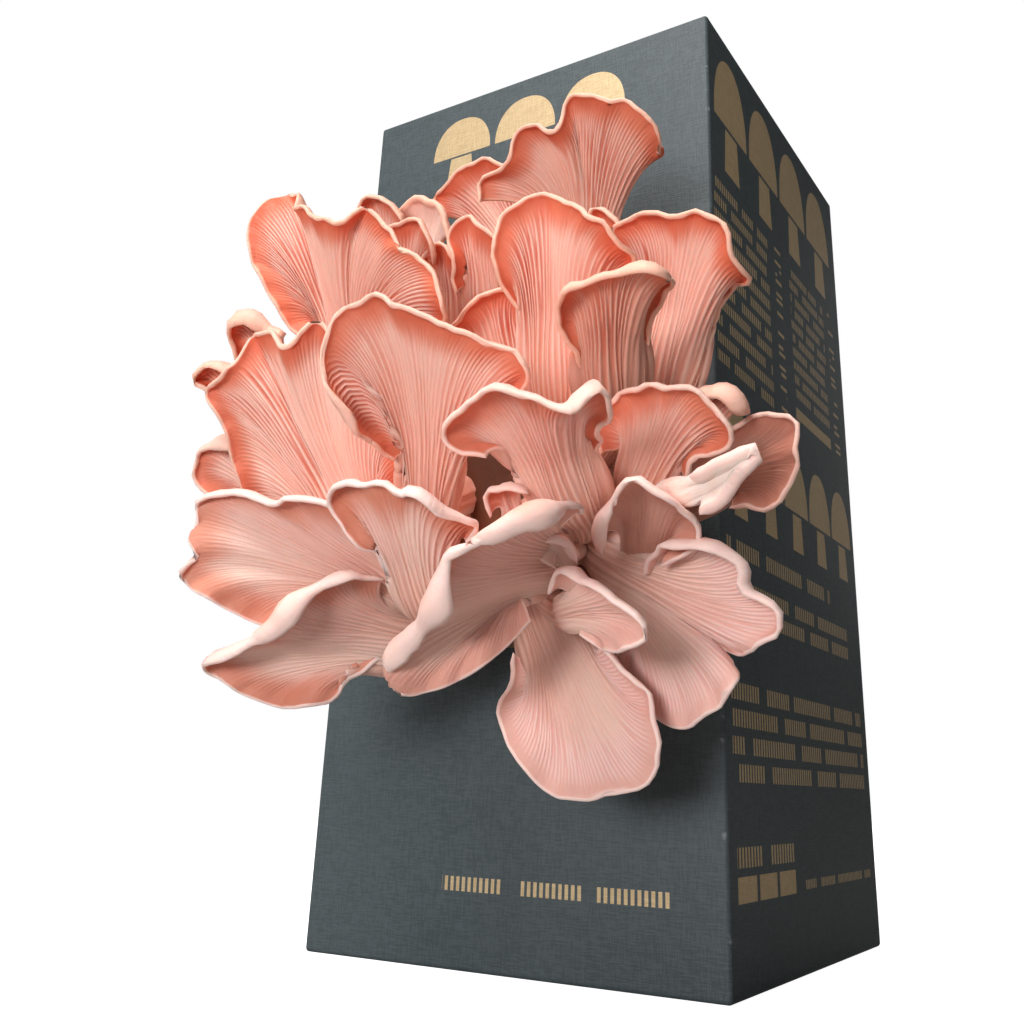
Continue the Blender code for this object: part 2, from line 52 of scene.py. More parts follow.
# Carton, as in the part's source
CARTON_SIDE = 132.0
CARTON_HEIGHT = 280.0
BOARD = 1.6
FOLD_RADIUS = 1.2
SHARP_FOLD = 35.0
WINDOW_HALF_WIDTH = 40.0
WINDOW_BOTTOM = 84.0
WINDOW_TOP = 178.0
WINDOW_CORNER = 14.0
LID_GROOVE = 0.5
LID_GROOVE_DEPTH = 0.7
FRONT = -CARTON_SIDE / 2

# Grow block and stem clump, as in the part's source
BLOCK_GAP = 1.2
BLOCK_HEIGHT = 262.0
BLOCK_ROUND = 9.0
FIT_GAP = 0.35
CLUMP_MIDDLE = (9.0, 10.0, 130.0)
CLUMP_REACH = (29.0, 31.0, 43.0)
CLUMP_LUMPS = 1.6

# Mushroom flesh
MARGIN_THICKNESS = 1.3
BARE_THICKENING = 1.4
FLESH_THICKNESS = 3.8
FLESH_THINNING = 1.5
STEM_FLATNESS = 0.9
STEM_ENDS_AT = 0.45
NECK_WIDENING = 1.5
NECK_BOW = 0.6
CAP_LIP = 0.35
FAN_STRAIGHTENING = 0.5
ROLL_RADIUS = 2.5
CURVE_STEPS = 24

# Fine surface of a mushroom
GILL_SPACING = 1.25
COLUMNS_PER_GILL = 4
SKIN_STEP = 8
STEM_ROWS = 8
CAP_ROW_CROWDING = 0.95
ROW_STEP = 1.1
FEWEST_ROWS = 14
MOST_ROWS = 38
ROLL_ROWS = 6
GILL_DEPTH = 0.55
GILL_HALF_WIDTH = 0.5
FORK_ROOM = 1.1
FORK_SPREAD = 0.7
FORK_RISE = 0.5
RIM_WIDTH = 0.8
PLAIN_RIM = 7.5

# What is painted on the caps: the heights between which they turn rosy, the width of the salmon
# margin, partly painted shade under the curled rim, and what low caps add to it, and how the
# stretches of painted light follow each other
LOW_CAPS = (95.0, 150.0)
FLUSH_WIDTH = 7.5
LOW_FLUSH = 4.5
LIT_WAVES = 1.4
LIT_STEP = 0.618

# Each generation of gills: how many for one gill of the stem, its shift, and whether it forks off.
# All together they give the rim eight gills for each one of the stem.
GILL_GENERATIONS = ((1.0, 0.0, False), (1.0, 0.5, True), (2.0, 0.5, True), (4.0, 0.5, True))
RIM_GILLS = 8
RELIEF_VALUES = ("gill_run", "gill_pitch", "gill_depth")

# The margin's long, middle and short waves, each a length and a size
FRILL_WAVES = ((24.0, 0.9), (12.0, 0.5), (5.6, 0.14))
FRILL_FADE = 1.6
FRILL_DRIFT = 0.9
DRIFT_LENGTH = 2.7
CALM_ENDS = 7.0


@dataclass
class Mushroom:
    """A cap and its stem, grown as one.

    foot is where the stem leaves the clump, root where it starts to widen, and throat where the
    gills begin to spread. margin lists points along the cap's edge, clockwise as the gill side is
    seen, and stem is half the stem's width. roll is how far the edge curls over, in degrees, and
    radius how wide the curl is, both at even steps along the margin. hollow is how far the cap is
    dished and frill how far its edge waves in and out. gills is how strongly the gills stand out,
    blush how strongly the margin is painted salmon, which is partly its own colour and partly
    painted shade under the curled rim, blanch how pale the band inside it is, shade how far painted
    shade darkens the flesh to brown, and bare how far pale skin takes the place of gills.
    """
    foot: tuple
    root: tuple
    throat: tuple
    margin: list
    stem: float
    roll: float | tuple = 70.0
    radius: float | tuple = ROLL_RADIUS
    hollow: float = 2.0
    frill: float = 1.0
    gills: float = 1.0
    blush: float = 1.0
    blanch: float = 0.0
    shade: float = 0.0
    bare: float = 0.0


# A mushroom given shade has its flesh darkened to brown as painted shade, where the cap lies in
# shade.
MUSHROOMS = {
    "crest_mushroom": Mushroom(
        foot=(21, 13, 158), root=(34, 14, 190), throat=(39, 23, 202), stem=6,
        margin=[(8, 36, 209), (10, 38, 215), (21, 42, 217), (26, 44, 223), (36, 43, 221),
                (39, 42, 225), (43, 43, 229), (54, 44, 225), (63, 42, 218), (66, 37, 213),
                (64, 31, 212), (56, 28, 215), (50, 26, 211), (46, 25, 204)],
        roll=(90, 50, 60, 60, 40, 30, 40), radius=(2.5, 2.5, 2.5, 2.5, 1.0, 1.5, 2), shade=0.35),
    "crest_side_mushroom": Mushroom(
        foot=(8, 8, 160), root=(12, 9, 198), throat=(4, 14, 212), stem=5,
        margin=[(-19, 22, 217), (-18, 24, 225), (-8, 28, 228), (5, 28, 229), (17, 24, 223)],
        roll=50),
    "back_left_mushroom": Mushroom(
        foot=(-8, 10, 152), root=(-38, 16, 194), throat=(-35, 26, 206), stem=4,
        margin=[(-42, 36, 215), (-34, 38, 220), (-26, 40, 219), (-21, 38, 215), (-18, 36, 210)],
        roll=90),
    "back_pale_mushroom": Mushroom(
        foot=(0, 10, 158), root=(-24, 16, 192), throat=(-21, 24, 206), stem=4,
        margin=[(-29, 30, 217), (-22, 32, 220), (-13, 32, 217), (-7, 31, 211), (-6, 29, 204)],
        bare=0.6),
    "back_fan_mushroom": Mushroom(
        foot=(-4, 22, 150), root=(-23, 26, 178), throat=(-15, 38, 188), stem=5,
        margin=[(-19, 48, 195), (-15, 50, 200), (-5, 52, 199), (4, 52, 192), (4, 48, 184)]),
    "upper_slim_mushroom": Mushroom(
        foot=(8, 20, 154), root=(8, 30, 172), throat=(12, 40, 180), stem=5,
        margin=[(6, 44, 176), (7, 48, 191), (14, 50, 195), (22, 50, 190), (26, 46, 178)],
        roll=50),
    "upper_bud": Mushroom(
        foot=(0, 24, 148), root=(-2, 34, 171), throat=(1, 40, 178), stem=4.5,
        margin=[(-5, 43, 181), (-3, 46, 188), (1, 47, 192), (7, 46, 190), (9, 44, 183)]),
    "upper_trumpet": Mushroom(
        foot=(26, 26, 140), root=(40, 42, 141), throat=(47, 57, 152), stem=8,
        margin=[(40, 62, 157), (38, 69, 164), (39, 72, 171), (46, 72, 179), (55, 70, 180),
                (65, 74, 170), (73, 70, 164), (72, 60, 160)],
        roll=(60, 60, 50, 60, 60)),
    "upper_sliver_mushroom": Mushroom(
        foot=(26, 16, 148), root=(43, 20, 173), throat=(47, 30, 182), stem=4,
        margin=[(44, 38, 191), (51, 40, 193), (57, 40, 188), (60, 36, 182)]),
    "upper_right_mushroom": Mushroom(
        foot=(31, 18, 138), root=(64, 27, 142), throat=(73, 40, 154), stem=8,
        margin=[(61, 46, 168), (60, 50, 178), (66, 53, 179), (75, 56, 176), (84, 57, 175),
                (90, 56, 171), (94, 52, 163), (93, 45, 160), (86, 38, 162), (80, 34, 155)],
        roll=(60, 70, 70, 70, 60, 80)),
    "right_trumpet": Mushroom(
        foot=(33, 28, 122), root=(58, 46, 135), throat=(65, 61, 143), stem=8,
        margin=[(56, 60, 138), (56, 66, 143), (58, 72, 150), (64, 77, 151), (73, 80, 151),
                (82, 80, 150), (87, 76, 149), (85, 70, 151), (78, 62, 151), (73, 56, 143)],
        roll=(60, 100, 110, 100, 90, 60), radius=(1.5, 1.9, 1.9, 1.9, 1.6, 1.6), shade=0.6),
    "wedge_mushroom": Mushroom(
        foot=(17, 30, 136), root=(25, 38, 145), throat=(27, 49, 153), stem=5,
        margin=[(15, 58, 156), (20, 60, 161), (29, 58, 165), (35, 54, 167), (37, 50, 159)],
        roll=60),
    "high_left_mushroom": Mushroom(
        foot=(-8, 26, 138), root=(-26, 42, 158), throat=(-22, 58, 168), stem=7,
        margin=[(-28, 64, 159), (-37, 70, 173), (-42, 75, 187), (-43, 75, 198), (-37, 69, 206),
                (-29, 72, 201), (-23, 77, 194), (-14, 78, 189), (-6, 77, 187), (0, 74, 189),
                (8, 73, 180), (20, 72, 168), (25, 70, 158), (20, 64, 155)],
        roll=(50, 50, 30, 60, 60, 60)),
    "left_high_bud": Mushroom(
        foot=(-13, 18, 135), root=(-37, 54, 146), throat=(-38, 66, 154), stem=4,
        margin=[(-46, 70, 155), (-46, 74, 164), (-38, 75, 168), (-26, 72, 160)],
        roll=(90, 170, 170), radius=(2, 3, 2)),
    "left_low_bud": Mushroom(
        foot=(-14, 24, 126), root=(-36, 56, 136), throat=(-41, 70, 143), stem=4,
        margin=[(-44, 76, 142), (-51, 80, 148), (-45, 82, 152), (-35, 78, 149)],
        roll=120),
    "left_fan_mushroom": Mushroom(
        foot=(-5, 30, 116), root=(-6, 50, 105), throat=(-6, 67, 110), stem=8,
        margin=[(-35, 66, 110), (-39, 70, 120), (-38, 78, 134), (-42, 82, 143), (-29, 86, 145),
                (-25, 84, 154), (-18, 87, 152), (-11, 88, 147), (-5, 88, 150), (0, 86, 150),
                (6, 82, 141), (14, 73, 127), (12, 64, 114)],
        roll=(60, 90, 60, 50, 60)),
    "left_rear_mushroom": Mushroom(
        foot=(-12, 16, 112), root=(-31, 42, 115), throat=(-40, 56, 121), stem=6,
        margin=[(-58, 62, 119), (-64, 64, 128), (-60, 66, 135), (-46, 66, 135), (-37, 64, 129),
                (-31, 60, 122)],
        roll=(60, 110, 170, 170, 100), radius=(1.5, 2, 2.4, 2.4, 2)),
    "great_trumpet": Mushroom(
        foot=(10, 32, 122), root=(9, 52, 112), throat=(24, 71, 117), stem=6.5,
        margin=[(15, 74, 119), (13, 79, 123), (12, 83, 127), (12, 87, 131), (11, 91, 136),
                (10, 94, 141), (14, 96, 147), (21, 96, 148), (30, 97, 147), (37, 94, 142),
                (46, 92, 138), (54, 88, 135), (58, 84, 129), (42, 75, 124), (30, 71, 119)],
        roll=(60, 150, 200, 110) + 8 * (60,) + (30,), radius=(2, 3, 3.6, 2.6) + 9 * (2.5,),
        shade=0.12),
    "centre_fan_mushroom": Mushroom(
        foot=(29, 30, 112), root=(52, 52, 109), throat=(55, 67, 114), stem=8,
        margin=[(46, 82, 113), (40, 85, 115), (39, 87, 119), (44, 89, 122), (51, 91, 124),
                (62, 91, 122), (68, 90, 119), (73, 90, 118), (76, 87, 122), (76, 82, 120),
                (71, 74, 119), (63, 63, 116)],
        roll=(60, 90, 90, 90, 90, 90, 10), gills=0.85),
    "right_fan_mushroom": Mushroom(
        foot=(34, 17, 115), root=(63, 40, 113), throat=(73, 54, 118), stem=6,
        margin=[(58, 51, 121), (60, 56, 128), (68, 61, 131), (76, 65, 129), (87, 66, 127),
                (92, 63, 124), (94, 60, 119), (90, 55, 116), (84, 52, 116), (79, 48, 112)],
        roll=60, shade=0.2),
    "right_rear_mushroom": Mushroom(
        foot=(34, 12, 128), root=(66, 18, 131), throat=(74, 24, 136), stem=4,
        margin=[(75, 34, 141), (82, 36, 139), (87, 36, 136), (89, 32, 131)],
        roll=150),
    "right_ear_mushroom": Mushroom(
        foot=(33, 8, 121), root=(61, 12, 117), throat=(73, 18, 122), stem=6,
        margin=[(76, 24, 129), (84, 28, 131), (90, 29, 133), (96, 29, 130), (98, 28, 125),
                (98, 26, 120), (94, 23, 115), (87, 20, 111), (77, 17, 112)],
        roll=60, shade=1.0, gills=0.3, blush=0.3),
    "pale_finger_mushroom": Mushroom(
        foot=(60, 38, 112), root=(75, 50, 109), throat=(83, 58, 106), stem=3,
        margin=[(86, 63, 109), (91, 66, 108), (97, 69, 109), (102, 70, 110), (103, 69, 108),
                (100, 68, 106), (96, 65, 104), (91, 62, 101), (87, 59, 100)],
        roll=40, frill=0.4, bare=1),
    "side_cup_mushroom": Mushroom(
        foot=(32, 12, 106), root=(53, 24, 94), throat=(60, 34, 93), stem=5,
        margin=[(58, 56, 101), (64, 62, 105), (70, 67, 108), (75, 67, 108),
                (80, 64, 105), (83, 60, 104), (83, 54, 101), (80, 50, 98), (73, 46, 97)],
        roll=(150, 160, 50, 50, 60, 100), hollow=8, shade=0.8, gills=0.2, blush=0.4),
    "young_cup_mushroom": Mushroom(
        foot=(29, 39, 106), root=(36, 52, 102), throat=(40, 60, 104), stem=2.5,
        margin=[(36, 66, 106), (38, 68, 110), (44, 70, 110), (50, 69, 109)]),
    "middle_knob": Mushroom(
        foot=(46, 42, 100), root=(48, 50, 97), throat=(52, 57, 95), stem=3,
        margin=[(49, 60, 93), (47, 63, 97), (51, 65, 99), (56, 64, 98), (58, 61, 94)], roll=60,
        frill=0.3, bare=0.6, shade=0.4),
    "small_middle_mushroom": Mushroom(
        foot=(25, 24, 94), root=(46, 44, 85), throat=(53, 54, 84), stem=4,
        margin=[(51, 58, 90), (58, 62, 92), (64, 64, 89), (70, 66, 85), (75, 65, 79),
                (74, 63, 75), (69, 60, 73), (62, 56, 74), (54, 53, 78)],
        roll=(100, 120, 60, 20, 5), gills=0.4, blush=0.2),
    "rolled_fan_mushroom": Mushroom(
        foot=(22, 33, 103), root=(42, 46, 97), throat=(47, 58, 93), stem=6.5,
        margin=[(44, 58, 81), (38, 61, 74), (29, 64, 68), (19, 68, 65), (15, 72, 69), (18, 75, 73),
                (27, 80, 78), (35, 85, 83), (43, 89, 90), (51, 92, 93), (60, 89, 98), (64, 79, 102),
                (64, 72, 101)],
        roll=(40, 40, 50, 60, 110, 170, 180, 180, 110, 170, 180, 160, 90),
        radius=(1.5, 1.5, 1.5, 1.5, 1.5, 2, 2.4, 2.8, 1.4, 2.4, 2.6, 2, 1.2),
        gills=0.6, blush=0.5, shade=0.1),
    "small_trumpet": Mushroom(
        foot=(16, 32, 98), root=(22, 64, 84), throat=(26, 78, 87), stem=5,
        margin=[(21, 82, 95), (17, 86, 96), (15, 89, 101), (14, 91, 105), (17, 93, 107),
                (24, 95, 107), (31, 95, 106), (34, 94, 104), (39, 95, 103), (42, 91, 100),
                (46, 87, 99), (47, 83, 98), (42, 80, 96)],
        roll=(60, 110, 110, 110, 90), radius=1.8),
    "lower_left_mushroom": Mushroom(
        foot=(2, 24, 99), root=(5, 46, 93), throat=(4, 60, 94), stem=8,
        margin=[(-14, 62, 81), (-27, 69, 83), (-38, 77, 89), (-44, 80, 94), (-40, 81, 100),
                (-41, 82, 104), (-39, 82, 108), (-37, 83, 112), (-29, 82, 114), (-18, 82, 112),
                (-12, 81, 110), (-6, 81, 110), (5, 80, 108), (16, 79, 103), (25, 72, 93)],
        roll=(50, 50, 70, 100, 100, 80, 60), gills=0.5, blush=0.9, shade=0.15),
    "bottom_left_mushroom": Mushroom(
        foot=(3, 13, 93), root=(-1, 38, 81), throat=(-6, 52, 79), stem=7,
        margin=[(-3, 46, 77), (-7, 50, 74), (-12, 54, 70), (-15, 56, 65), (-21, 59, 63),
                (-32, 61, 65), (-40, 65, 69), (-42, 70, 75), (-30, 74, 78), (-19, 76, 82),
                (-12, 76, 88), (-4, 72, 93), (6, 64, 93)],
        roll=(60, 50, 50, 50, 60, 150, 180, 180, 150, 60),
        radius=(1.5, 1.5, 1.5, 1.5, 2, 2.6, 2.4, 2.6, 2, 1.5), gills=0.55, blush=0.9),
    "lower_right_mushroom": Mushroom(
        foot=(31, 24, 103), root=(49, 35, 102), throat=(60, 37, 92), stem=6,
        margin=[(66, 41, 94), (70, 45, 98), (78, 48, 98), (86, 48, 97), (92, 45, 93),
                (91, 42, 88), (96, 41, 84), (95, 40, 80), (91, 38, 76), (84, 34, 75), (80, 33, 76),
                (84, 36, 68), (75, 34, 62), (65, 30, 60), (54, 26, 68), (48, 24, 77)],
        roll=(60, 150, 150, 60, 20, 15, 15, 20), gills=0.6, blush=0.1, blanch=0.6),
    "hanging_mushroom": Mushroom(
        foot=(18, 14, 100), root=(28, 22, 89), throat=(37, 31, 76), stem=9,
        margin=[(52, 36, 79), (61, 36, 68), (67, 38, 57), (62, 36, 48), (50, 36, 44),
                (38, 36, 45), (29, 38, 52), (24, 38, 61), (24, 34, 69), (23, 30, 76)],
        roll=(160, 60, 15, 15, 30, 100), gills=0.55, blush=0.15, blanch=0.9, shade=0.2),
}


def linear(colour):
    """A colour as seen on a screen, 0 to 255, to the light values that a shader takes."""
    return tuple(c / 255 / 12.92 if c <= 10 else ((c / 255 + 0.055) / 1.055) ** 2.4
                 for c in colour) + (1.0,)


# Node helpers, for materials and for geometry

def feed(tree, socket, value):
    """Give an input a plain value or another node's output."""
    if isinstance(value, bpy.types.NodeSocket):
        tree.links.new(value, socket)
    else:
        socket.default_value = value


def fill_inputs(tree, node, inputs):
    """Give a node's inputs, by name or number, their values."""
    for key, value in dict(inputs).items():
        feed(tree, node.inputs[key], value)


def add_node(tree, kind, inputs=(), output=0, **settings):
    """Add a node with its settings and inputs, and give one of its outputs."""
    node = tree.nodes.new(kind)
    for title, value in settings.items():
        setattr(node, title, value)
    fill_inputs(tree, node, inputs)
    return node.outputs[output]


def maths(tree, operation, *values):
    """One arithmetic step."""
    return add_node(tree, "ShaderNodeMath", enumerate(values), operation=operation)


def times(tree, first, second):
    """Two numbers multiplied."""
    return maths(tree, "MULTIPLY", first, second)


def smooth(tree, value, start, stop, low=0.0, high=1.0):
    """A soft step from low at start to high at stop."""
    inputs = {"Value": value, "From Min": start, "From Max": stop, "To Min": low, "To Max": high}
    return add_node(tree, "ShaderNodeMapRange", inputs, interpolation_type="SMOOTHSTEP")


def blend(tree, share, first, second):
    """Two colours mixed by a share; a plain colour is given as seen on a screen."""
    first, second = (linear(c) if isinstance(c, tuple) else c for c in (first, second))
    return add_node(tree, "ShaderNodeMix", {0: share, 6: first, 7: second}, 2, data_type="RGBA")


def stretched(tree, vector, stretch):
    """Coordinates scaled along each axis."""
    return add_node(tree, "ShaderNodeVectorMath", {0: vector, 1: stretch}, operation="MULTIPLY")


def grain(tree, vector, scale, detail=3.0, roughness=0.5):
    """Noise between 0 and 1 over coordinates in metres; scale is features per metre."""
    inputs = {"Vector": vector, "Scale": scale, "Detail": detail, "Roughness": roughness}
    return add_node(tree, "ShaderNodeTexNoise", inputs)


def object_place(tree):
    """The object's own coordinates."""
    return add_node(tree, "ShaderNodeTexCoord", output="Object")


def painted(tree, name):
    """A number stored on the piece's own mesh."""
    return add_node(tree, "ShaderNodeAttribute", output="Fac", attribute_name=name)


def new_material(name, roughness, specular=0.5):
    """An empty finish, with its tree and its shader."""
    material = bpy.data.materials.new(name)
    material.use_nodes = True
    tree = material.node_tree
    shader = tree.nodes["Principled BSDF"]
    fill_inputs(tree, shader, {"Roughness": roughness, "Specular IOR Level": specular})
    return material, tree, shader


def bump(tree, shader, height, distance, strength=1.0):
    """Fine relief from a height between 0 and 1; distance is its depth in metres."""
    inputs = {"Strength": strength, "Distance": distance, "Height": height}
    feed(tree, shader.inputs["Normal"], add_node(tree, "ShaderNodeBump", inputs))


# Finishes: how far each pale layer covers the flesh, the painted light among them, and how much
# light the flesh lets through

STEM_CREAM = 0.85
STREAK_CREAM = 0.22
PAINTED_LIGHT_CREAM = 0.7
FLESH_GLOW = 0.2


def flesh_material():
    """Pink oyster flesh: pale gills over salmon grooves, a salmon margin, a cream rim and stem,
    with
    painted light and shade: grooves and margin partly darkened as painted shade, pale stretches of
    painted light, and brown painted shade.
    """
    material, tree, shader = new_material("pink mushroom flesh", 0.55, 0.3)
    spot = object_place(tree)
    low, shaded_salmon, gills, ridge, pale, rim, face, bare, shade, blanched, painted_light = (
        painted(tree, title) for title in ("low", "shaded_salmon", "gills", "ridge", "pale", "rim", "face",
                                           "bare", "shade", "blanched", "painted_light"))
    streaks = smooth(tree, grain(tree, growth_lines(tree), 1.0, 4.0, 0.6), 0.36, 0.64)
    patches = smooth(tree, grain(tree, spot, 70.0, 3.0), 0.38, 0.62)
    # The grooves between the gills are deeper salmon, partly their own colour and partly painted
    # shade in the creases; the crests are paler.
    groove = blend(tree, low, (202, 88, 64), (204, 134, 118))
    crest = blend(tree, low, (252, 208, 192), (247, 212, 207))
    between = blend(tree, low, (236, 152, 126), (231, 180, 169))
    lined = blend(tree, gills, between, blend(tree, ridge, groove, crest))
    cream = blend(tree, ridge, blend(tree, low, (236, 170, 148), (200, 150, 130)),
                  blend(tree, low, (252, 222, 206), (228, 186, 171)))
    lined = blend(tree, times(tree, pale, STEM_CREAM), lined, cream)
    lined = blend(tree, times(tree, streaks, STREAK_CREAM), lined, (250, 208, 194))
    # Painted light: pale stretches where light falls across the caps.
    lined = blend(tree, times(tree, painted_light, PAINTED_LIGHT_CREAM), lined,
                  blend(tree, low, (252, 202, 186), (240, 206, 192)))
    lined = blend(tree, blanched, lined, blend(tree, ridge, (232, 176, 168), (250, 218, 212)))
    # The salmon margin: partly its own colour, partly painted shade in the hollow under the curled
    # rim.
    margin = blend(tree, patches, blend(tree, low, (214, 100, 70), (204, 122, 96)),
                   blend(tree, low, (226, 118, 88), (216, 138, 114)))
    under = blend(tree, shaded_salmon, lined, margin)
    under = blend(tree, bare, under, blend(tree, patches, (244, 212, 198), (250, 228, 218)))
    # Painted shade: the flesh darkened to brown where a cap lies in shade, most towards the stem.
    under = blend(tree, shade, under, blend(tree, patches, (158, 98, 76), (184, 128, 104)))
    skin = blend(tree, patches, (238, 168, 146), (248, 200, 186))
    edge = blend(tree, low, (248, 190, 168), (248, 213, 205))
    colour = blend(tree, rim, blend(tree, face, skin, under), edge)
    fill_inputs(tree, shader, {"Base Color": colour, "Subsurface Weight": FLESH_GLOW,
                               "Subsurface Radius": (1.0, 0.35, 0.22), "Subsurface Scale": 0.003})
    fibres = maths(tree, "ADD", streaks, grain(tree, spot, 1300.0, 2.0))
    bump(tree, shader, fibres, 0.00012, 0.5)
    return material


def growth_lines(tree):
    """Coordinates that follow the growth of a cap: across its gills, and far less along them."""
    return add_node(tree, "ShaderNodeCombineXYZ", {0: times(tree, painted(tree, "across"), 7.0),
                                                   1: times(tree, painted(tree, "outward"), 0.12)})


def clump_material():
    """The flesh where the stems run together, painted dark brown as shade, for it is only seen deep
    in the gaps.
    """
    material, tree, shader = new_material("stem flesh painted as shade", 0.55, 0.3)
    spot = object_place(tree)
    patches = smooth(tree, grain(tree, spot, 60.0), 0.35, 0.65)
    # Painted shade: the stem flesh coloured dark brown, as it looks deep in shade.
    colour = blend(tree, patches, (104, 66, 48), (140, 94, 72))
    fill_inputs(tree, shader, {"Base Color": colour, "Subsurface Weight": FLESH_GLOW,
                               "Subsurface Radius": (1.0, 0.4, 0.25), "Subsurface Scale": 0.004})
    bump(tree, shader, grain(tree, spot, 500.0, 4.0), 0.0002)
    return material


# Foil signs and strokes, as shares of their own cell

ICON_BRIM = 0.4
ICON_HALF_WIDTH = 0.46
ICON_ROUNDNESS = 2.2
ICON_STEM = 0.16
ICON_FLARE = 0.07
ICON_GAP = 0.05
STROKE_WIDTH = 0.56
ROW_SHIFT = 7.37
GROUP_WAVES = (0.93, 0.57)
GROUP_LIMIT = 1.1


def box_share(tree, along, up, low, high):
    """1 inside a rectangle on a carton face and 0 outside, from its corners in millimetres."""
    share = 1.0
    for value, start, stop in ((along, low[0], high[0]), (up, low[1], high[1])):
        middle, half = (start + stop) / 2 * MM, (stop - start) / 2 * MM
        away = maths(tree, "ABSOLUTE", maths(tree, "SUBTRACT", value, middle))
        share = times(tree, share, maths(tree, "LESS_THAN", away, half))
    return share


def foil_icons(tree, along, up, low, high, count):
    """A row of plain mushroom signs: a round cap over a short stem."""
    pitch = (high[0] - low[0]) / count
    height = high[1] - low[1]
    brim = low[1] + ICON_BRIM * height
    cell = maths(tree, "DIVIDE", maths(tree, "SUBTRACT", along, low[0] * MM), pitch * MM)
    side = maths(tree, "ABSOLUTE", maths(tree, "SUBTRACT", maths(tree, "FRACT", cell), 0.5))
    rise = maths(tree, "DIVIDE", maths(tree, "SUBTRACT", up, brim * MM),
                 (1 - ICON_BRIM) * height * MM)
    wide = maths(tree, "POWER", maths(tree, "DIVIDE", side, ICON_HALF_WIDTH), ICON_ROUNDNESS)
    tall = maths(tree, "POWER", maths(tree, "MAXIMUM", rise, 0.0), ICON_ROUNDNESS)
    cap = times(tree, maths(tree, "LESS_THAN", maths(tree, "ADD", wide, tall), 1.0),
                maths(tree, "GREATER_THAN", rise, 0.0))
    stem_width = maths(tree, "SUBTRACT", ICON_STEM, times(tree, rise, ICON_FLARE))
    stem = times(tree, maths(tree, "LESS_THAN", side, stem_width),
                 maths(tree, "LESS_THAN", rise, -ICON_GAP))
    return times(tree, box_share(tree, along, up, low, high), maths(tree, "MAXIMUM", cap, stem))


def foil_strokes(tree, along, up, low, high, rows, pitch, height=0.6):
    """Rows of short upright strokes in uneven groups."""
    row_height = (high[1] - low[1]) / rows
    line = maths(tree, "DIVIDE", maths(tree, "SUBTRACT", up, low[1] * MM), row_height * MM)
    in_row = maths(tree, "LESS_THAN", maths(tree, "FRACT", line), height)
    shift = times(tree, maths(tree, "FLOOR", line), ROW_SHIFT)
    number = maths(tree, "ADD", maths(tree, "DIVIDE", along, pitch * MM), shift)
    stroke = maths(tree, "LESS_THAN", maths(tree, "FRACT", number), STROKE_WIDTH)
    whole = maths(tree, "FLOOR", number)
    waves = [maths(tree, "SINE", times(tree, whole, wave)) for wave in GROUP_WAVES]
    grouped = maths(tree, "LESS_THAN", maths(tree, "ADD", *waves), GROUP_LIMIT)
    inside = times(tree, box_share(tree, along, up, low, high), in_row)
    return times(tree, inside, times(tree, stroke, grouped))


# Each motif's kind, its low and high corners in millimetres, and its sizes. Print lies on a face
# down to FACE_DEPTH behind it.
FACE_DEPTH = 0.1
FRONT_FOIL = [
    (foil_icons, (-41, 247), (38, 272), 3), (foil_strokes, (-18, 19.5), (51, 24), 1, 1.9, 0.8)]
SIDE_FOIL = [
    (foil_icons, (-63, 229), (58, 272), 4), (foil_icons, (-62, 119), (62, 151), 5),
    (foil_strokes, (-64, 162), (-17, 225), 11, 1.7),
    (foil_strokes, (-10, 162), (-4, 225), 26, 40.0, 0.5),
    (foil_strokes, (5, 174), (44, 225), 10, 1.6),
    (foil_strokes, (50, 162), (56, 225), 26, 40.0, 0.5),
    (foil_strokes, (-62, 107.5), (31, 112.5), 1, 1.8, 0.9),
    (foil_strokes, (-62, 91), (49, 103.5), 2, 1.9, 0.65),
    (foil_strokes, (-61, 49), (59, 76), 4, 1.9, 0.65),
    (foil_strokes, (-60, 29), (-17, 34), 1, 2.1, 0.95),
    (foil_strokes, (-9, 21.5), (59, 24.5), 1, 1.4, 0.8),
    (box_share, (5, 166), (44, 170)), (box_share, (-60, 21), (-47, 27)),
    (box_share, (-45, 21), (-32, 27)), (box_share, (-30, 21), (-17, 27))]


def foil_share(tree, spot):
    """Where the gold foil is: 1 on the motifs of the front and of the right side."""
    split = tree.nodes.new("ShaderNodeSeparateXYZ")
    feed(tree, split.inputs[0], spot)
    x, y, z = split.outputs
    faces = ((x, maths(tree, "LESS_THAN", y, (FRONT + FACE_DEPTH) * MM), FRONT_FOIL),
             (y, maths(tree, "GREATER_THAN", x, (-FRONT - FACE_DEPTH) * MM), SIDE_FOIL))
    total = 0.0
    for along, on_face, motifs in faces:
        share = 0.0
        for motif, low, high, *sizes in motifs:
            share = maths(tree, "MAXIMUM", share, motif(tree, along, z, low, high, *sizes))
        total = maths(tree, "MAXIMUM", total, times(tree, share, on_face))
    return total, x, y, z


# Paper: its linen, its paler patches, and the band in metres from the middle where folds wear

THREADS_PER_METRE = 2600.0
PATCH_SHARE = 0.25
FOLD_BAND = (0.0628, 0.0660)
FOLD_WEAR = 0.14
FOIL_SHINE = 0.3


def linen_threads(tree, spot, z):
    """Crossed threads: upright and level ones on the walls, both ways on the top and the bottom."""
    upright, level, deep, wide = (
        grain(tree, stretched(tree, spot, stretch), THREADS_PER_METRE, 2.0)
        for stretch in ((1.0, 1.0, 0.12), (0.12, 0.12, 1.0), (1.0, 0.12, 1.0), (0.12, 1.0, 1.0)))
    from_middle = maths(tree, "ABSOLUTE", maths(tree, "SUBTRACT", z, CARTON_HEIGHT / 2 * MM))
    at_end = maths(tree, "GREATER_THAN", from_middle, (CARTON_HEIGHT / 2 - FACE_DEPTH) * MM)
    ends = times(tree, at_end, maths(tree, "ADD", deep, wide))
    return maths(tree, "ADD", ends, times(tree, maths(tree, "SUBTRACT", 1.0, at_end),
                                          maths(tree, "ADD", upright, level)))


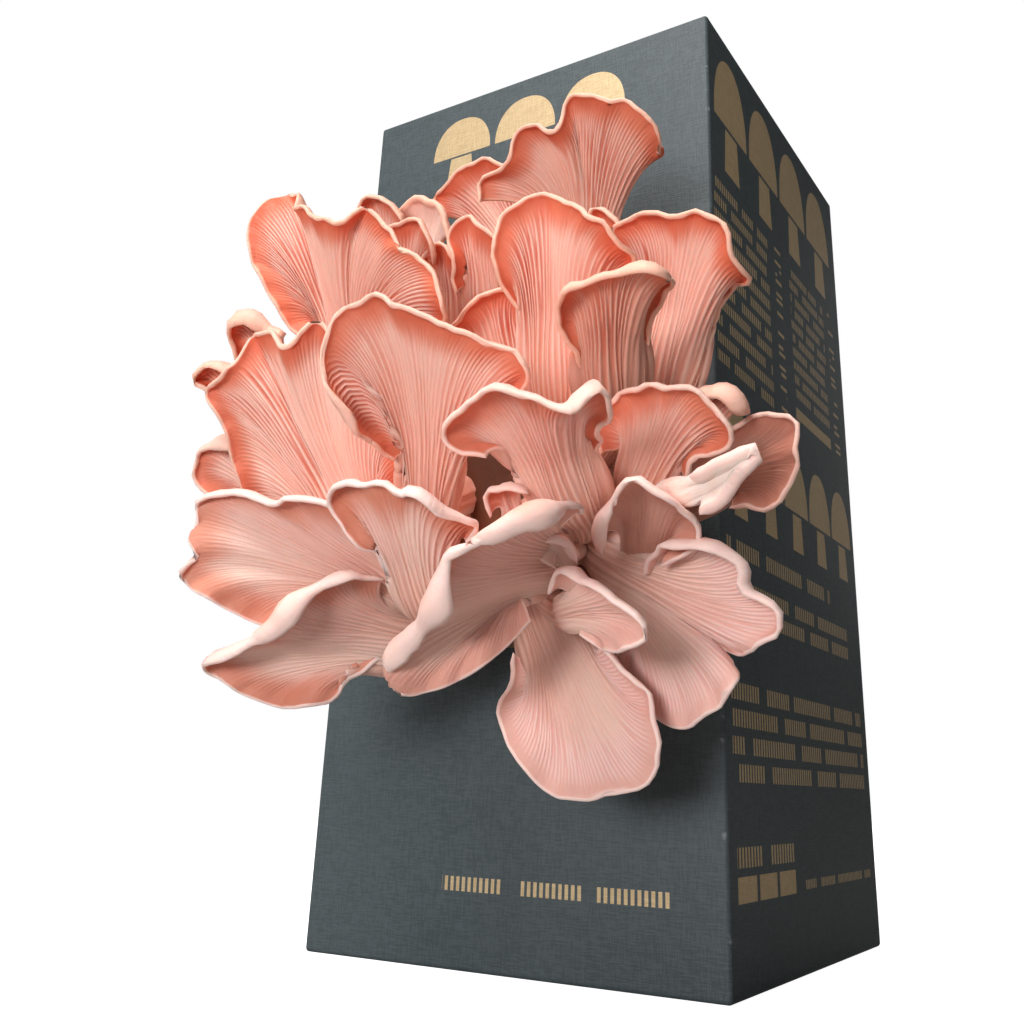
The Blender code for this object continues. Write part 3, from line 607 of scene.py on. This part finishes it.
def board_material():
    """Dark slate paper with a linen grain, gold foil motifs, and folds rubbed pale."""
    material, tree, shader = new_material("dark linen paper", 0.56, 0.3)
    spot = object_place(tree)
    foil, x, y, z = foil_share(tree, spot)
    linen = smooth(tree, linen_threads(tree, spot, z), 0.75, 1.25)
    patches = smooth(tree, grain(tree, spot, 14.0), 0.3, 0.7)
    paper = blend(tree, linen, (60, 69, 72), (73, 82, 86))
    paper = blend(tree, times(tree, patches, PATCH_SHARE), paper, (79, 87, 91))
    fold = times(tree, *(smooth(tree, maths(tree, "ABSOLUTE", value), *FOLD_BAND)
                         for value in (x, y)))
    worn = maths(tree, "ADD", grain(tree, spot, 260.0, 5.0, 0.65), times(tree, fold, FOLD_WEAR))
    rubbed = smooth(tree, worn, 0.7, 0.8)
    paper = blend(tree, times(tree, rubbed, fold), paper, (118, 122, 124))
    gold = blend(tree, linen, (186, 162, 124), (200, 176, 138))
    fill_inputs(tree, shader, {"Base Color": blend(tree, foil, paper, gold),
                               "Metallic": times(tree, foil, FOIL_SHINE)})
    bump(tree, shader, linen, 0.00005, 0.8)
    return material


def inner_board_material():
    """The board's cut edge and its grey inside."""
    material, tree, shader = new_material("grey board inside", 0.8, 0.2)
    fibres = smooth(tree, grain(tree, object_place(tree), 900.0, 4.0), 0.35, 0.65)
    feed(tree, shader.inputs["Base Color"], blend(tree, fibres, (120, 112, 100), (150, 142, 128)))
    bump(tree, shader, fibres, 0.00005)
    return material


def block_material():
    """Straw substrate grown through with white threads, behind a clear film."""
    material, tree, shader = new_material("bagged substrate", 0.3, 0.5)
    spot = object_place(tree)
    straw = smooth(tree, grain(tree, stretched(tree, spot, (1.0, 0.5, 0.2)), 420.0, 4.0), 0.4, 0.6)
    white = smooth(tree, grain(tree, spot, 70.0, 6.0, 0.6), 0.42, 0.58)
    ground = blend(tree, straw, (150, 112, 72), (196, 164, 116))
    feed(tree, shader.inputs["Base Color"], blend(tree, white, ground, (236, 230, 214)))
    bump(tree, shader, grain(tree, spot, 180.0, 3.0), 0.0006)
    return material


# Shapes

def new_object(name, data):
    """Put an object with its mesh, camera or light into the scene."""
    item = bpy.data.objects.new(name, data)
    bpy.context.scene.collection.objects.link(item)
    return item


def piece_from_mesh(name, bm, *materials):
    """Put a bmesh into the scene as a piece with its materials."""
    mesh = bpy.data.meshes.new(name)
    bmesh.ops.recalc_face_normals(bm, faces=bm.faces)
    bm.to_mesh(mesh)
    bm.free()
    for material in materials:
        mesh.materials.append(material)
    return new_object(name, mesh)


def settle(item):
    """Turn an object's modifiers into its plain mesh."""
    graph = bpy.context.evaluated_depsgraph_get()
    mesh = bpy.data.meshes.new_from_object(item.evaluated_get(graph), depsgraph=graph)
    item.modifiers.clear()
    item.data = mesh
    return item


def box_mesh(low, high, round_by=0.0, segments=5, slot=0):
    """A box between two corners in millimetres, with its edges rounded."""
    bm = bmesh.new()
    bmesh.ops.create_cube(bm, size=1.0)
    middle = [(a + b) / 2 * MM for a, b in zip(low, high)]
    sides = [(b - a) * MM for a, b in zip(low, high)]
    bmesh.ops.scale(bm, vec=sides, verts=bm.verts)
    bmesh.ops.translate(bm, vec=middle, verts=bm.verts)
    if round_by:
        bmesh.ops.bevel(bm, geom=list(bm.edges), offset=round_by * MM, segments=segments,
                        profile=0.5, affect="EDGES", clamp_overlap=True)
    for polygon in bm.faces:
        polygon.material_index = slot
    return bm


def window_outline(corner_steps=12):
    """The window's outline with round corners, as (x, z)."""
    middle_z = (WINDOW_BOTTOM + WINDOW_TOP) / 2
    half_height = (WINDOW_TOP - WINDOW_BOTTOM) / 2
    outline = []
    for quarter, (sx, sz) in enumerate(((1, 1), (-1, 1), (-1, -1), (1, -1))):
        for step in range(corner_steps + 1):
            angle = math.radians(90 * (quarter + step / corner_steps))
            x = sx * (WINDOW_HALF_WIDTH - WINDOW_CORNER) + WINDOW_CORNER * math.cos(angle)
            z = middle_z + sz * (half_height - WINDOW_CORNER) + WINDOW_CORNER * math.sin(angle)
            outline.append((x, z))
    return outline


def pushed_face(corners, push, slot):
    """A slab made by pushing a flat face along an axis; all values in millimetres."""
    bm = bmesh.new()
    start = bm.faces.new([bm.verts.new([c * MM for c in corner]) for corner in corners])
    start.material_index = slot
    moved = [v for v in bmesh.ops.extrude_face_region(bm, geom=[start])["geom"]
             if isinstance(v, bmesh.types.BMVert)]
    bmesh.ops.translate(bm, vec=[c * MM for c in push], verts=moved)
    for polygon in bm.faces:
        polygon.material_index = slot
    return bm


def lid_groove():
    """The slit on the top's left, front and right where the tuck lid meets the walls."""
    half = CARTON_SIDE / 2 - 2 * BOARD
    inner = half - LID_GROOVE
    low = CARTON_HEIGHT - LID_GROOVE_DEPTH
    corners = [(-half, half, low), (-half, -half, low), (half, -half, low), (half, half, low),
               (inner, half, low), (inner, -inner, low), (-inner, -inner, low), (-inner, half, low)]
    return pushed_face(corners, (0, 0, LID_GROOVE_DEPTH + 1), 0)


def make_carton(board, inside_board):
    """The closed carton with its window, finer at its folds than the solid."""
    half = CARTON_SIDE / 2
    outside = box_mesh((-half, -half, 0), (half, half, CARTON_HEIGHT), FOLD_RADIUS)
    carton = piece_from_mesh("carton_shell", outside, board, inside_board)
    inner = half - BOARD
    cavity = box_mesh((-inner, -inner, BOARD), (inner, inner, CARTON_HEIGHT - BOARD), slot=1)
    window = pushed_face([(x, FRONT - 2, z) for x, z in window_outline()], (0, BOARD + 4, 0), 1)
    for name, bm in (("cavity", cavity), ("window", window), ("lid_slit", lid_groove())):
        tool = piece_from_mesh("tool_" + name, bm, board, inside_board)
        modifier = carton.modifiers.new(name, "BOOLEAN")
        modifier.operation = "DIFFERENCE"
        modifier.solver = "EXACT"
        modifier.object = tool
    settle(carton)
    for name in ("cavity", "window", "lid_slit"):
        bpy.data.objects.remove(bpy.data.objects["tool_" + name])
    carton.data.shade_smooth()
    carton.data.set_sharp_from_angle(angle=math.radians(SHARP_FOLD))
    return carton


def make_grow_block(film):
    """The substrate block, its film drawn into small creases."""
    half = CARTON_SIDE / 2 - BOARD - BLOCK_GAP
    bm = box_mesh((-half, -half, BOARD + FIT_GAP), (half, half, BLOCK_HEIGHT), BLOCK_ROUND, 4)
    bmesh.ops.subdivide_edges(bm, edges=bm.edges, cuts=12, use_grid_fill=True)
    bmesh.ops.triangulate(bm, faces=bm.faces)
    bm.normal_update()
    for vert in bm.verts:
        x, y, z = (c / MM for c in vert.co)
        crease = math.sin(x / 9 + 2 * math.sin(z / 21)) * math.sin(z / 13 + y / 17)
        vert.co -= vert.normal * (0.5 + 0.5 * crease) * MM
    block = piece_from_mesh("grow_block_bag", bm, film)
    block.data.shade_smooth()
    return block


def make_clump(material):
    """The lump of fused stems, ribbed by the stems that run together in it."""
    bm = bmesh.new()
    bmesh.ops.create_icosphere(bm, subdivisions=6, radius=1.0)
    back = CARTON_SIDE / 2 - BOARD - BLOCK_GAP + FIT_GAP
    for vert in bm.verts:
        way = vert.co.normalized()
        lumps = (math.sin(5 * way.x + 2) * math.sin(6 * way.z + 1)
                 + 0.6 * math.sin(9 * way.y + 4 * way.z))
        ribs = 0.5 * math.sin(17 * way.x + 3 * math.sin(3 * way.z)) - 0.6
        reach = [r + CLUMP_LUMPS * lumps + ribs for r in CLUMP_REACH]
        x = CLUMP_MIDDLE[0] + reach[0] * way.x
        y = FRONT - CLUMP_MIDDLE[1] + reach[1] * way.y
        z = CLUMP_MIDDLE[2] + reach[2] * way.z
        vert.co = (x * MM, min(y, -back) * MM, z * MM)
    bmesh.ops.remove_doubles(bm, verts=bm.verts, dist=0.01 * MM)
    clump = piece_from_mesh("fused_stems", bm, material)
    clump.data.shade_smooth()
    return clump


# Mushroom surface

def place(point):
    point = np.asarray(point, float)
    return np.array([point[0], FRONT - point[1], point[2]])


def unit(vectors):
    """Vectors scaled to length one."""
    size = np.linalg.norm(vectors, axis=-1, keepdims=True)
    return vectors / np.maximum(size, 1e-9)


def ease(start, stop, value):
    """A smooth step from 0 at start to 1 at stop."""
    t = np.clip((value - start) / (stop - start), 0, 1)
    return t * t * (3 - 2 * t)


def margin_curve(points):
    """A smooth curve through the margin's points, and the length up to each of its points."""
    p = np.array([place(point) for point in points])
    ends = np.vstack([2 * p[0] - p[1], p, 2 * p[-1] - p[-2]])
    t = np.linspace(0, 1, CURVE_STEPS, endpoint=False)[:, None]
    runs = []
    for a, b, c, d in zip(ends, ends[1:], ends[2:], ends[3:]):
        runs.append(0.5 * (2 * b + (c - a) * t + (2 * a - 5 * b + 4 * c - d) * t ** 2
                           + (3 * b - a - 3 * c + d) * t ** 3))
    curve = np.vstack(runs + [p[-1:]])
    return curve, np.r_[0, np.cumsum(np.linalg.norm(np.diff(curve, axis=0), axis=1))]


def along_points(points, shares):
    """Points at the given shares of the margin's length."""
    curve, length = margin_curve(points)
    return np.stack([np.interp(shares * length[-1], length, curve[:, k]) for k in range(3)], 1)


def across(values, shares):
    """A value at each share of the margin, from one number or a few evenly spaced ones."""
    values = np.atleast_1d(np.asarray(values, float))
    return np.interp(shares, np.linspace(0, 1, len(values)), values)[:, None]


def bezier(a, b, c, d, t):
    """Cubic curves between a and d, one for each row of points."""
    a, b, c, d = (q[:, None] for q in (a, b, c, d))
    t = t[None, :, None]
    return (1 - t) ** 3 * a + 3 * (1 - t) ** 2 * t * b + 3 * (1 - t) * t ** 2 * c + t ** 3 * d


def middle_sheet(m, shares, stem_steps, cap_steps, roll_steps):
    """The sheet halfway between the gills and the skin, as a grid of points."""
    margin = along_points(m.margin, shares)
    foot, root, throat = place(m.foot), place(m.root), place(m.throat)
    along = unit(throat - root)
    chord = margin[-1] - margin[0]
    side = unit(chord - along * (chord @ along))
    front = np.cross(side, along)
    width = (2 * shares - 1)[:, None]
    edge = side * m.stem * width
    neck = throat + edge * NECK_WIDENING + front * m.stem * NECK_BOW * (1 - width ** 2)
    reach = margin - throat
    fan = unit(reach.mean(axis=0))
    outward = unit(reach - FAN_STRAIGHTENING * fan * (reach @ fan)[:, None])
    turn = np.radians(across(m.roll, shares))
    radius = across(m.radius, shares)
    crest = margin - outward * radius * np.sin(np.minimum(turn, np.pi / 2))
    length = np.linalg.norm(reach, axis=1, keepdims=True)
    belly = crest - outward * CAP_LIP * length - front * m.hollow
    cap = bezier(root + edge, neck, belly, crest, cap_steps)
    third = np.linalg.norm(root - foot) / 3
    stem = bezier(foot + edge, foot + edge + unit(root - foot) * third,
                  root + edge - along * third, root + edge, stem_steps)
    end = unit(crest - belly)
    over = unit(front - end * (end @ front)[:, None])
    angle = turn * roll_steps[None, :]
    roll = crest[:, None] + radius[..., None] * (end[:, None] * np.sin(angle)[..., None]
                                                 + over[:, None] * (1 - np.cos(angle))[..., None])
    return np.concatenate([stem, cap, roll], axis=1)


def sheet_normals(grid):
    """Normals of a grid of points, towards the gills."""
    return unit(np.cross(np.gradient(grid, axis=0), np.gradient(grid, axis=1)))


def frill(m, seed, along, to_rim):
    """How far the edge waves in and out of the sheet, in long, middle and short waves."""
    random = np.random.default_rng(seed)
    total = 0
    for span, size in FRILL_WAVES:
        phase, drift = random.uniform(0, 2 * np.pi, 2)
        wander = FRILL_DRIFT * np.sin(2 * np.pi * along / (DRIFT_LENGTH * span) + drift)
        wave = np.sin(2 * np.pi * along / span + phase + wander)
        total = total + size * wave[:, None] * np.exp(-FRILL_FADE * to_rim / span)
    ends = ease(0, CALM_ENDS, along) * ease(0, CALM_ENDS, along[-1] - along)
    return m.frill * total * ends[:, None]


def edge_distances(grid):
    """How far each point of a sheet is from the rim and from the nearer side."""
    rows = np.linalg.norm(np.diff(grid, axis=1), axis=2)
    to_rim = np.cumsum(rows[:, ::-1], axis=1)[:, ::-1]
    to_rim = np.concatenate([to_rim, np.zeros((len(grid), 1))], axis=1)
    columns = np.cumsum(np.linalg.norm(np.diff(grid, axis=0), axis=2), axis=0)
    from_left = np.vstack([np.zeros((1, grid.shape[1])), columns])
    return to_rim, np.minimum(from_left, from_left[-1] - from_left)


def half_thickness(m, to_rim, to_side, shares, steps):
    """Half the flesh's thickness over the sheet, round at the stem and thin at the edge."""
    thin = MARGIN_THICKNESS * (1 + BARE_THICKENING * m.bare)
    near = np.minimum(np.minimum(to_rim, to_side) / (thin / 2), 1)
    rounding = np.sqrt(1 - (1 - near) ** 2)
    fuller = max(FLESH_THICKNESS - thin, 0) * (1 - steps[None, :]) ** FLESH_THINNING
    sheet = 0.5 * (thin + fuller) * rounding
    tube = STEM_FLATNESS * m.stem * np.sqrt(np.clip(1 - (2 * shares - 1) ** 2, 0, 1))[:, None]
    blend_share = ease(0.0, STEM_ENDS_AT, steps)[None, :]
    return tube * (1 - blend_share) + sheet * blend_share


def mushroom_surface(m, seed):
    """Both sides of one mushroom and the values painted on them."""
    length = margin_curve(m.margin)[1][-1]
    gills = max(round(length / GILL_SPACING / RIM_GILLS), 1)
    shares = np.linspace(0, 1, gills * RIM_GILLS * COLUMNS_PER_GILL + 1)
    reach = np.linalg.norm(np.mean(m.margin, axis=0) - np.array(m.root))
    cap_rows = int(np.clip(reach / ROW_STEP, FEWEST_ROWS, MOST_ROWS))
    stem_steps = np.linspace(0, 1, STEM_ROWS, endpoint=False)
    cap_steps = np.linspace(0, 1, cap_rows + 1) ** CAP_ROW_CROWDING
    roll_steps = np.sin(np.linspace(0, 1, ROLL_ROWS + 1)[1:] * np.pi / 2)
    steps = np.r_[np.zeros(STEM_ROWS), cap_steps, np.ones(ROLL_ROWS)]
    grid = middle_sheet(m, shares, stem_steps, cap_steps, roll_steps)
    to_rim = edge_distances(grid)[0]
    grid = grid + sheet_normals(grid) * frill(m, seed, shares * length, to_rim)[..., None]
    normals = sheet_normals(grid)
    to_rim, to_side = edge_distances(grid)
    half = half_thickness(m, to_rim, to_side, shares, steps)
    gill_side = grid + normals * half[..., None]
    skin_side = grid - normals * half[..., None]
    return gill_side, skin_side, paint_values(m, seed, grid, to_rim, to_side, steps, gills)


def paint_values(m, seed, grid, to_rim, to_side, steps, gills):
    """What the finish and the gill relief read: for each value, the gill side's and the skin's."""
    columns, rows = grid.shape[:2]
    low = float(1 - ease(*LOW_CAPS, np.mean([p[2] for p in m.margin])))
    pitch = np.linalg.norm(np.gradient(grid, axis=0), axis=2) * (columns - 1) / gills
    edge = np.minimum(to_rim, to_side)
    cap = ease(0.0, 0.35, steps)
    from_foot = np.r_[np.linspace(0, 1, STEM_ROWS), np.ones(rows - STEM_ROWS)]
    # lit sets where painted light falls: pale stretches that come and go across each cap.
    lit_turn = LIT_WAVES * np.linspace(0, 1, columns) + LIT_STEP * seed
    lit = 0.5 + 0.5 * np.sin(2 * np.pi * lit_turn)[:, None]
    reach = to_rim[:, STEM_ROWS:STEM_ROWS + 1]
    near_rim = np.minimum(PLAIN_RIM, 0.3 * reach)
    depth = ease(0.2 * near_rim, near_rim, to_rim) * ease(0.3, 2.2, to_side)
    depth = depth * (0.5 + 0.5 * cap) * from_foot * (1 - 0.5 * lit) * m.gills * (1 - m.bare)
    # Painted light: the pale stretches, kept inside the margin.
    painted_light = lit * ease(0.5 * near_rim, 1.5 * near_rim, to_rim) * cap
    # Where the margin is painted salmon, and darkened as painted shade under the curled rim.
    flushed = np.minimum(FLUSH_WIDTH + LOW_FLUSH * low, 0.35 * reach)
    shaded_salmon = (1 - ease(0.3 * flushed, 1.3 * flushed, to_rim)) * cap * m.blush * (1 - m.bare)
    blanched = m.blanch * ease(2.0, 5.0, to_rim) * (1 - ease(9.0, 17.0, to_rim)) * cap
    rim = 1 - ease(0.5 * RIM_WIDTH, RIM_WIDTH, edge)
    pale_skin = 1 - ease(1.0, 9.0, edge)
    run = np.linspace(0, gills, columns)[:, None]
    full = np.ones((columns, rows))
    # shade carries the painted shade, deepest towards the stem.
    below = {"gill_depth": depth, "gills": depth * (1 - 0.55 * low), "face": 1.0, "shaded_salmon": shaded_salmon,
             "painted_light": painted_light, "blanched": blanched, "shade": m.shade * (1 - 0.5 * steps),
             "bare": m.bare}
    both = {"gill_run": run, "gill_pitch": pitch, "across": run + 40 * seed, "outward": to_rim,
            "low": low}
    values = {title: (value * full, 0 * full) for title, value in below.items()}
    values.update({title: (value * full, value * full) for title, value in both.items()})
    values["pale"] = ((1 - ease(0.05, 0.6 + 0.2 * low, steps)) * full, full)
    values["rim"] = (rim * cap, pale_skin * cap)
    return values


def surface_faces(columns, rows):
    """Faces of a closed skin: a fine gill side, a coarser upper skin and the foot's end."""
    front = np.arange(columns * rows).reshape(columns, rows)
    coarse = list(range(0, columns, SKIN_STEP))
    back = {}
    number = columns * rows
    for i in coarse:
        if i in (0, columns - 1):
            back[i] = list(front[i])
        else:
            back[i] = list(range(number, number + rows - 1)) + [front[i][-1]]
            number += rows - 1
    corners = np.stack([front[:-1, :-1], front[1:, :-1], front[1:, 1:], front[:-1, 1:]], -1)
    faces = corners.reshape(-1, 4).tolist()
    for a, b in zip(coarse, coarse[1:]):
        for j in range(rows - 2):
            faces.append([back[a][j], back[a][j + 1], back[b][j + 1], back[b][j]])
        rim = [int(front[i][-1]) for i in range(a, b + 1)]
        faces.append([back[a][rows - 2]] + rim + [back[b][rows - 2]])
    ring = [int(front[i][0]) for i in range(columns)]
    ring += [back[i][0] for i in coarse[-2:0:-1]]
    faces.append(ring[::-1])
    return [[int(v) for v in corner] for corner in faces], coarse[1:-1]


def fine_mushroom(name, m, seed, relief, material):
    """One mushroom as a closed mesh with its gills raised by the relief tree."""
    gill_side, skin_side, values = mushroom_surface(m, seed)
    faces, inner = surface_faces(*gill_side.shape[:2])
    points = np.vstack([gill_side.reshape(-1, 3), skin_side[inner][:, :-1].reshape(-1, 3)]) * MM
    mesh = bpy.data.meshes.new(name + "_body")
    mesh.from_pydata(points.tolist(), [], faces)
    for title, (below, above) in values.items():
        layer = mesh.attributes.new(title, "FLOAT", "POINT")
        numbers = np.r_[below.ravel(), above[inner][:, :-1].ravel()]
        layer.data.foreach_set("value", numbers.astype(np.float32))
    mesh.materials.append(material)
    item = new_object(name + "_body", mesh)
    modifier = item.modifiers.new("gill relief", "NODES")
    modifier.node_group = relief
    set_input(modifier, "Seed", seed)
    set_input(modifier, "Flesh", material)
    settle(item)
    for title in RELIEF_VALUES:
        item.data.attributes.remove(item.data.attributes[title])
    item.data.shade_smooth()
    return item


def set_input(modifier, name, value):
    """Set a geometry tree's input by its socket's identifier."""
    for socket in modifier.node_group.interface.items_tree:
        if socket.item_type == "SOCKET" and socket.in_out == "INPUT" and socket.name == name:
            modifier[socket.identifier] = value


def gill_relief_tree():
    """Raises gills that run from the stem to the rim and fork wherever there is room for more."""
    tree = bpy.data.node_groups.new("gill relief", "GeometryNodeTree")
    sockets = (("Geometry", "Geometry", None), ("Depth", "Float", GILL_DEPTH),
               ("Half width", "Float", GILL_HALF_WIDTH), ("Seed", "Int", 0),
               ("Flesh", "Material", None))
    for name, kind, value in sockets:
        socket = tree.interface.new_socket(name=name, in_out="INPUT",
                                           socket_type="NodeSocket" + kind)
        if value is not None:
            socket.default_value = value
    tree.interface.new_socket(name="Geometry", in_out="OUTPUT", socket_type="NodeSocketGeometry")
    given = tree.nodes.new("NodeGroupInput").outputs
    run, pitch, depth = (read_number(tree, title) for title in RELIEF_VALUES)
    height = 0.0
    for density, shift, forked in GILL_GENERATIONS:
        row = gill_row(tree, run, pitch, given, density, shift, forked)
        height = maths(tree, "MAXIMUM", height, row)
    lift = times(tree, times(tree, height, depth), times(tree, given["Depth"], MM))
    end = tree.nodes.new("NodeGroupOutput")
    feed(tree, end.inputs[0], relief_output(tree, given, lift, height))
    return tree


def read_number(tree, title):
    """A number painted on the points."""
    return add_node(tree, "GeometryNodeInputNamedAttribute", {"Name": title}, data_type="FLOAT")


def gill_row(tree, run, pitch, given, density, shift, forked):
    """The height of one generation of gills; a later one starts where its neighbours part."""
    in_row = maths(tree, "ADD", times(tree, run, density), shift)
    number = maths(tree, "ROUND", in_row)
    room = maths(tree, "DIVIDE", pitch, density)
    away = times(tree, maths(tree, "ABSOLUTE", maths(tree, "SUBTRACT", in_row, number)), room)
    gill = smooth(tree, away, 0.0, given["Half width"], 1.0, 0.0)
    if not forked:
        return gill
    chance = add_node(tree, "FunctionNodeRandomValue", {"ID": number, "Seed": given["Seed"]}, 1,
                      data_type="FLOAT")
    start = maths(tree, "ADD", FORK_ROOM, times(tree, chance, FORK_SPREAD))
    begun = smooth(tree, maths(tree, "SUBTRACT", room, start), 0.0, FORK_RISE)
    return times(tree, gill, begun)


def relief_output(tree, given, lift, height):
    """Moves the points along their normals, keeps the height for the finish and ends the tree."""
    normal = add_node(tree, "GeometryNodeInputNormal")
    offset = add_node(tree, "ShaderNodeVectorMath", {0: normal, "Scale": lift}, operation="SCALE")
    kept = add_node(tree, "GeometryNodeStoreNamedAttribute",
                    {"Geometry": given["Geometry"], "Name": "ridge", "Value": height},
                    data_type="FLOAT", domain="POINT")
    moved = add_node(tree, "GeometryNodeSetPosition", {"Geometry": kept, "Offset": offset})
    real = add_node(tree, "GeometryNodeRealizeInstances", {0: moved})
    return add_node(tree, "GeometryNodeSetMaterial", {"Geometry": real, "Material": given["Flesh"]})


# Camera, light and floor, in metres and degrees

CAMERA_AT = (0.1694, -0.3228, 0.0459)
CAMERA_TURN = 30.88
CAMERA_RISE = 19.50
CAMERA_ROLL = 1.54
LENS = 37.12
SENSOR_WIDTH = 36.0
NEAREST_SEEN = 0.01
SHIFT_X = -0.0472
SHIFT_Y = -0.0933
SKY_LIGHT = 0.1
SKY_COLOUR = (1.0, 0.98, 0.96, 1.0)
FLOOR_REACH = 6.0
FLOOR_GLOW = 0.95
FLOOR_COLOUR = (0.85, 0.85, 0.85, 1.0)
FLOOR_BOUNCE = (0.38, 0.37, 0.36, 1.0)
WHITE = (1.0, 1.0, 1.0)
WARM_WHITE = (1.0, 0.98, 0.95)

# Each light's name, place and target in metres, side, power in watts, and colour
LIGHTS = (
    ("key", (0.0, -0.95, 1.45), (0.0, -0.1, 0.13), 0.6, 26.5, WARM_WHITE),
    ("front", (0.03, -1.75, 0.13), (0.0, -0.1, 0.1), 0.8, 18.0, WHITE),
    ("low front", (0.03, -1.25, 0.04), (0.03, -0.07, 0.05), 0.4, 6.0, WHITE),
    ("back", (-0.2, 1.6, 0.7), (0.0, 0.07, 0.14), 0.8, 5.0, WHITE),
)


def make_camera():
    """A camera where the photograph was taken from."""
    turn, rise, roll = (math.radians(a) for a in (CAMERA_TURN, CAMERA_RISE, CAMERA_ROLL))
    looking = (Matrix.Rotation(turn, 4, "Z") @ Matrix.Rotation(math.pi / 2 + rise, 4, "X")
               @ Matrix.Rotation(roll, 4, "Z"))
    data = bpy.data.cameras.new("camera")
    data.lens = LENS
    data.sensor_width = SENSOR_WIDTH
    data.shift_x = SHIFT_X
    data.shift_y = SHIFT_Y
    data.clip_start = NEAREST_SEEN
    camera = new_object("camera", data)
    camera.matrix_world = Matrix.Translation(CAMERA_AT) @ looking
    bpy.context.scene.camera = camera


def make_light(name, at, towards, size, power, colour):
    """A square soft light that faces a point."""
    data = bpy.data.lights.new(name, "AREA")
    data.size = size
    data.energy = power
    data.color = colour
    light = new_object(name, data)
    way = np.array(towards) - np.array(at)
    light.rotation_euler = (math.atan2(math.hypot(way[0], way[1]), -way[2]), 0,
                            math.atan2(way[1], way[0]) - math.pi / 2)
    light.location = at


def make_surroundings():
    """White surroundings for the camera, dim as light, and a pale floor that throws light back."""
    world = bpy.data.worlds.new("studio")
    bpy.context.scene.world = world
    world.use_nodes = True
    tree = world.node_tree
    tree.nodes.clear()
    soft, white = (add_node(tree, "ShaderNodeBackground", {"Color": colour, "Strength": strength})
                   for colour, strength in ((SKY_COLOUR, SKY_LIGHT), (WHITE + (1.0,), 1.0)))
    feed(tree, tree.nodes.new("ShaderNodeOutputWorld").inputs[0], for_camera(tree, soft, white))
    bm = bmesh.new()
    bmesh.ops.create_grid(bm, x_segments=1, y_segments=1, size=FLOOR_REACH)
    piece_from_mesh("studio_floor", bm, floor_material())


def for_camera(tree, lighting, seen):
    """One shader for the light that it gives, and another for what the camera sees."""
    rays = add_node(tree, "ShaderNodeLightPath", output="Is Camera Ray")
    return add_node(tree, "ShaderNodeMixShader", {0: rays, 1: lighting, 2: seen})


def floor_material():
    material, tree, shader = new_material("pale floor", 0.8, 0.1)
    fill_inputs(tree, shader, {"Base Color": FLOOR_COLOUR,
                               "Emission Color": WHITE + (1.0,), "Emission Strength": FLOOR_GLOW})
    dim = add_node(tree, "ShaderNodeBsdfDiffuse", {"Color": FLOOR_BOUNCE})
    feed(tree, tree.nodes["Material Output"].inputs[0], for_camera(tree, dim, shader.outputs[0]))
    return material


def register(piece, node):
    """Let a piece stand for its node."""
    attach(piece, "root")
    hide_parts(node)


def main():
    """Build the looks of the whole kit."""
    bpy.context.scene.view_settings.view_transform = "Standard"
    make_camera()
    register(make_carton(board_material(), inner_board_material()), "carton")
    register(make_grow_block(block_material()), "grow_block")
    register(make_clump(clump_material()), "stem_clump")
    flesh = flesh_material()
    relief = gill_relief_tree()
    for seed, (name, m) in enumerate(MUSHROOMS.items()):
        register(fine_mushroom(name, m, seed, relief, flesh), name)
    bpy.data.node_groups.remove(relief)
    for light in LIGHTS:
        make_light(*light)
    make_surroundings()


main()
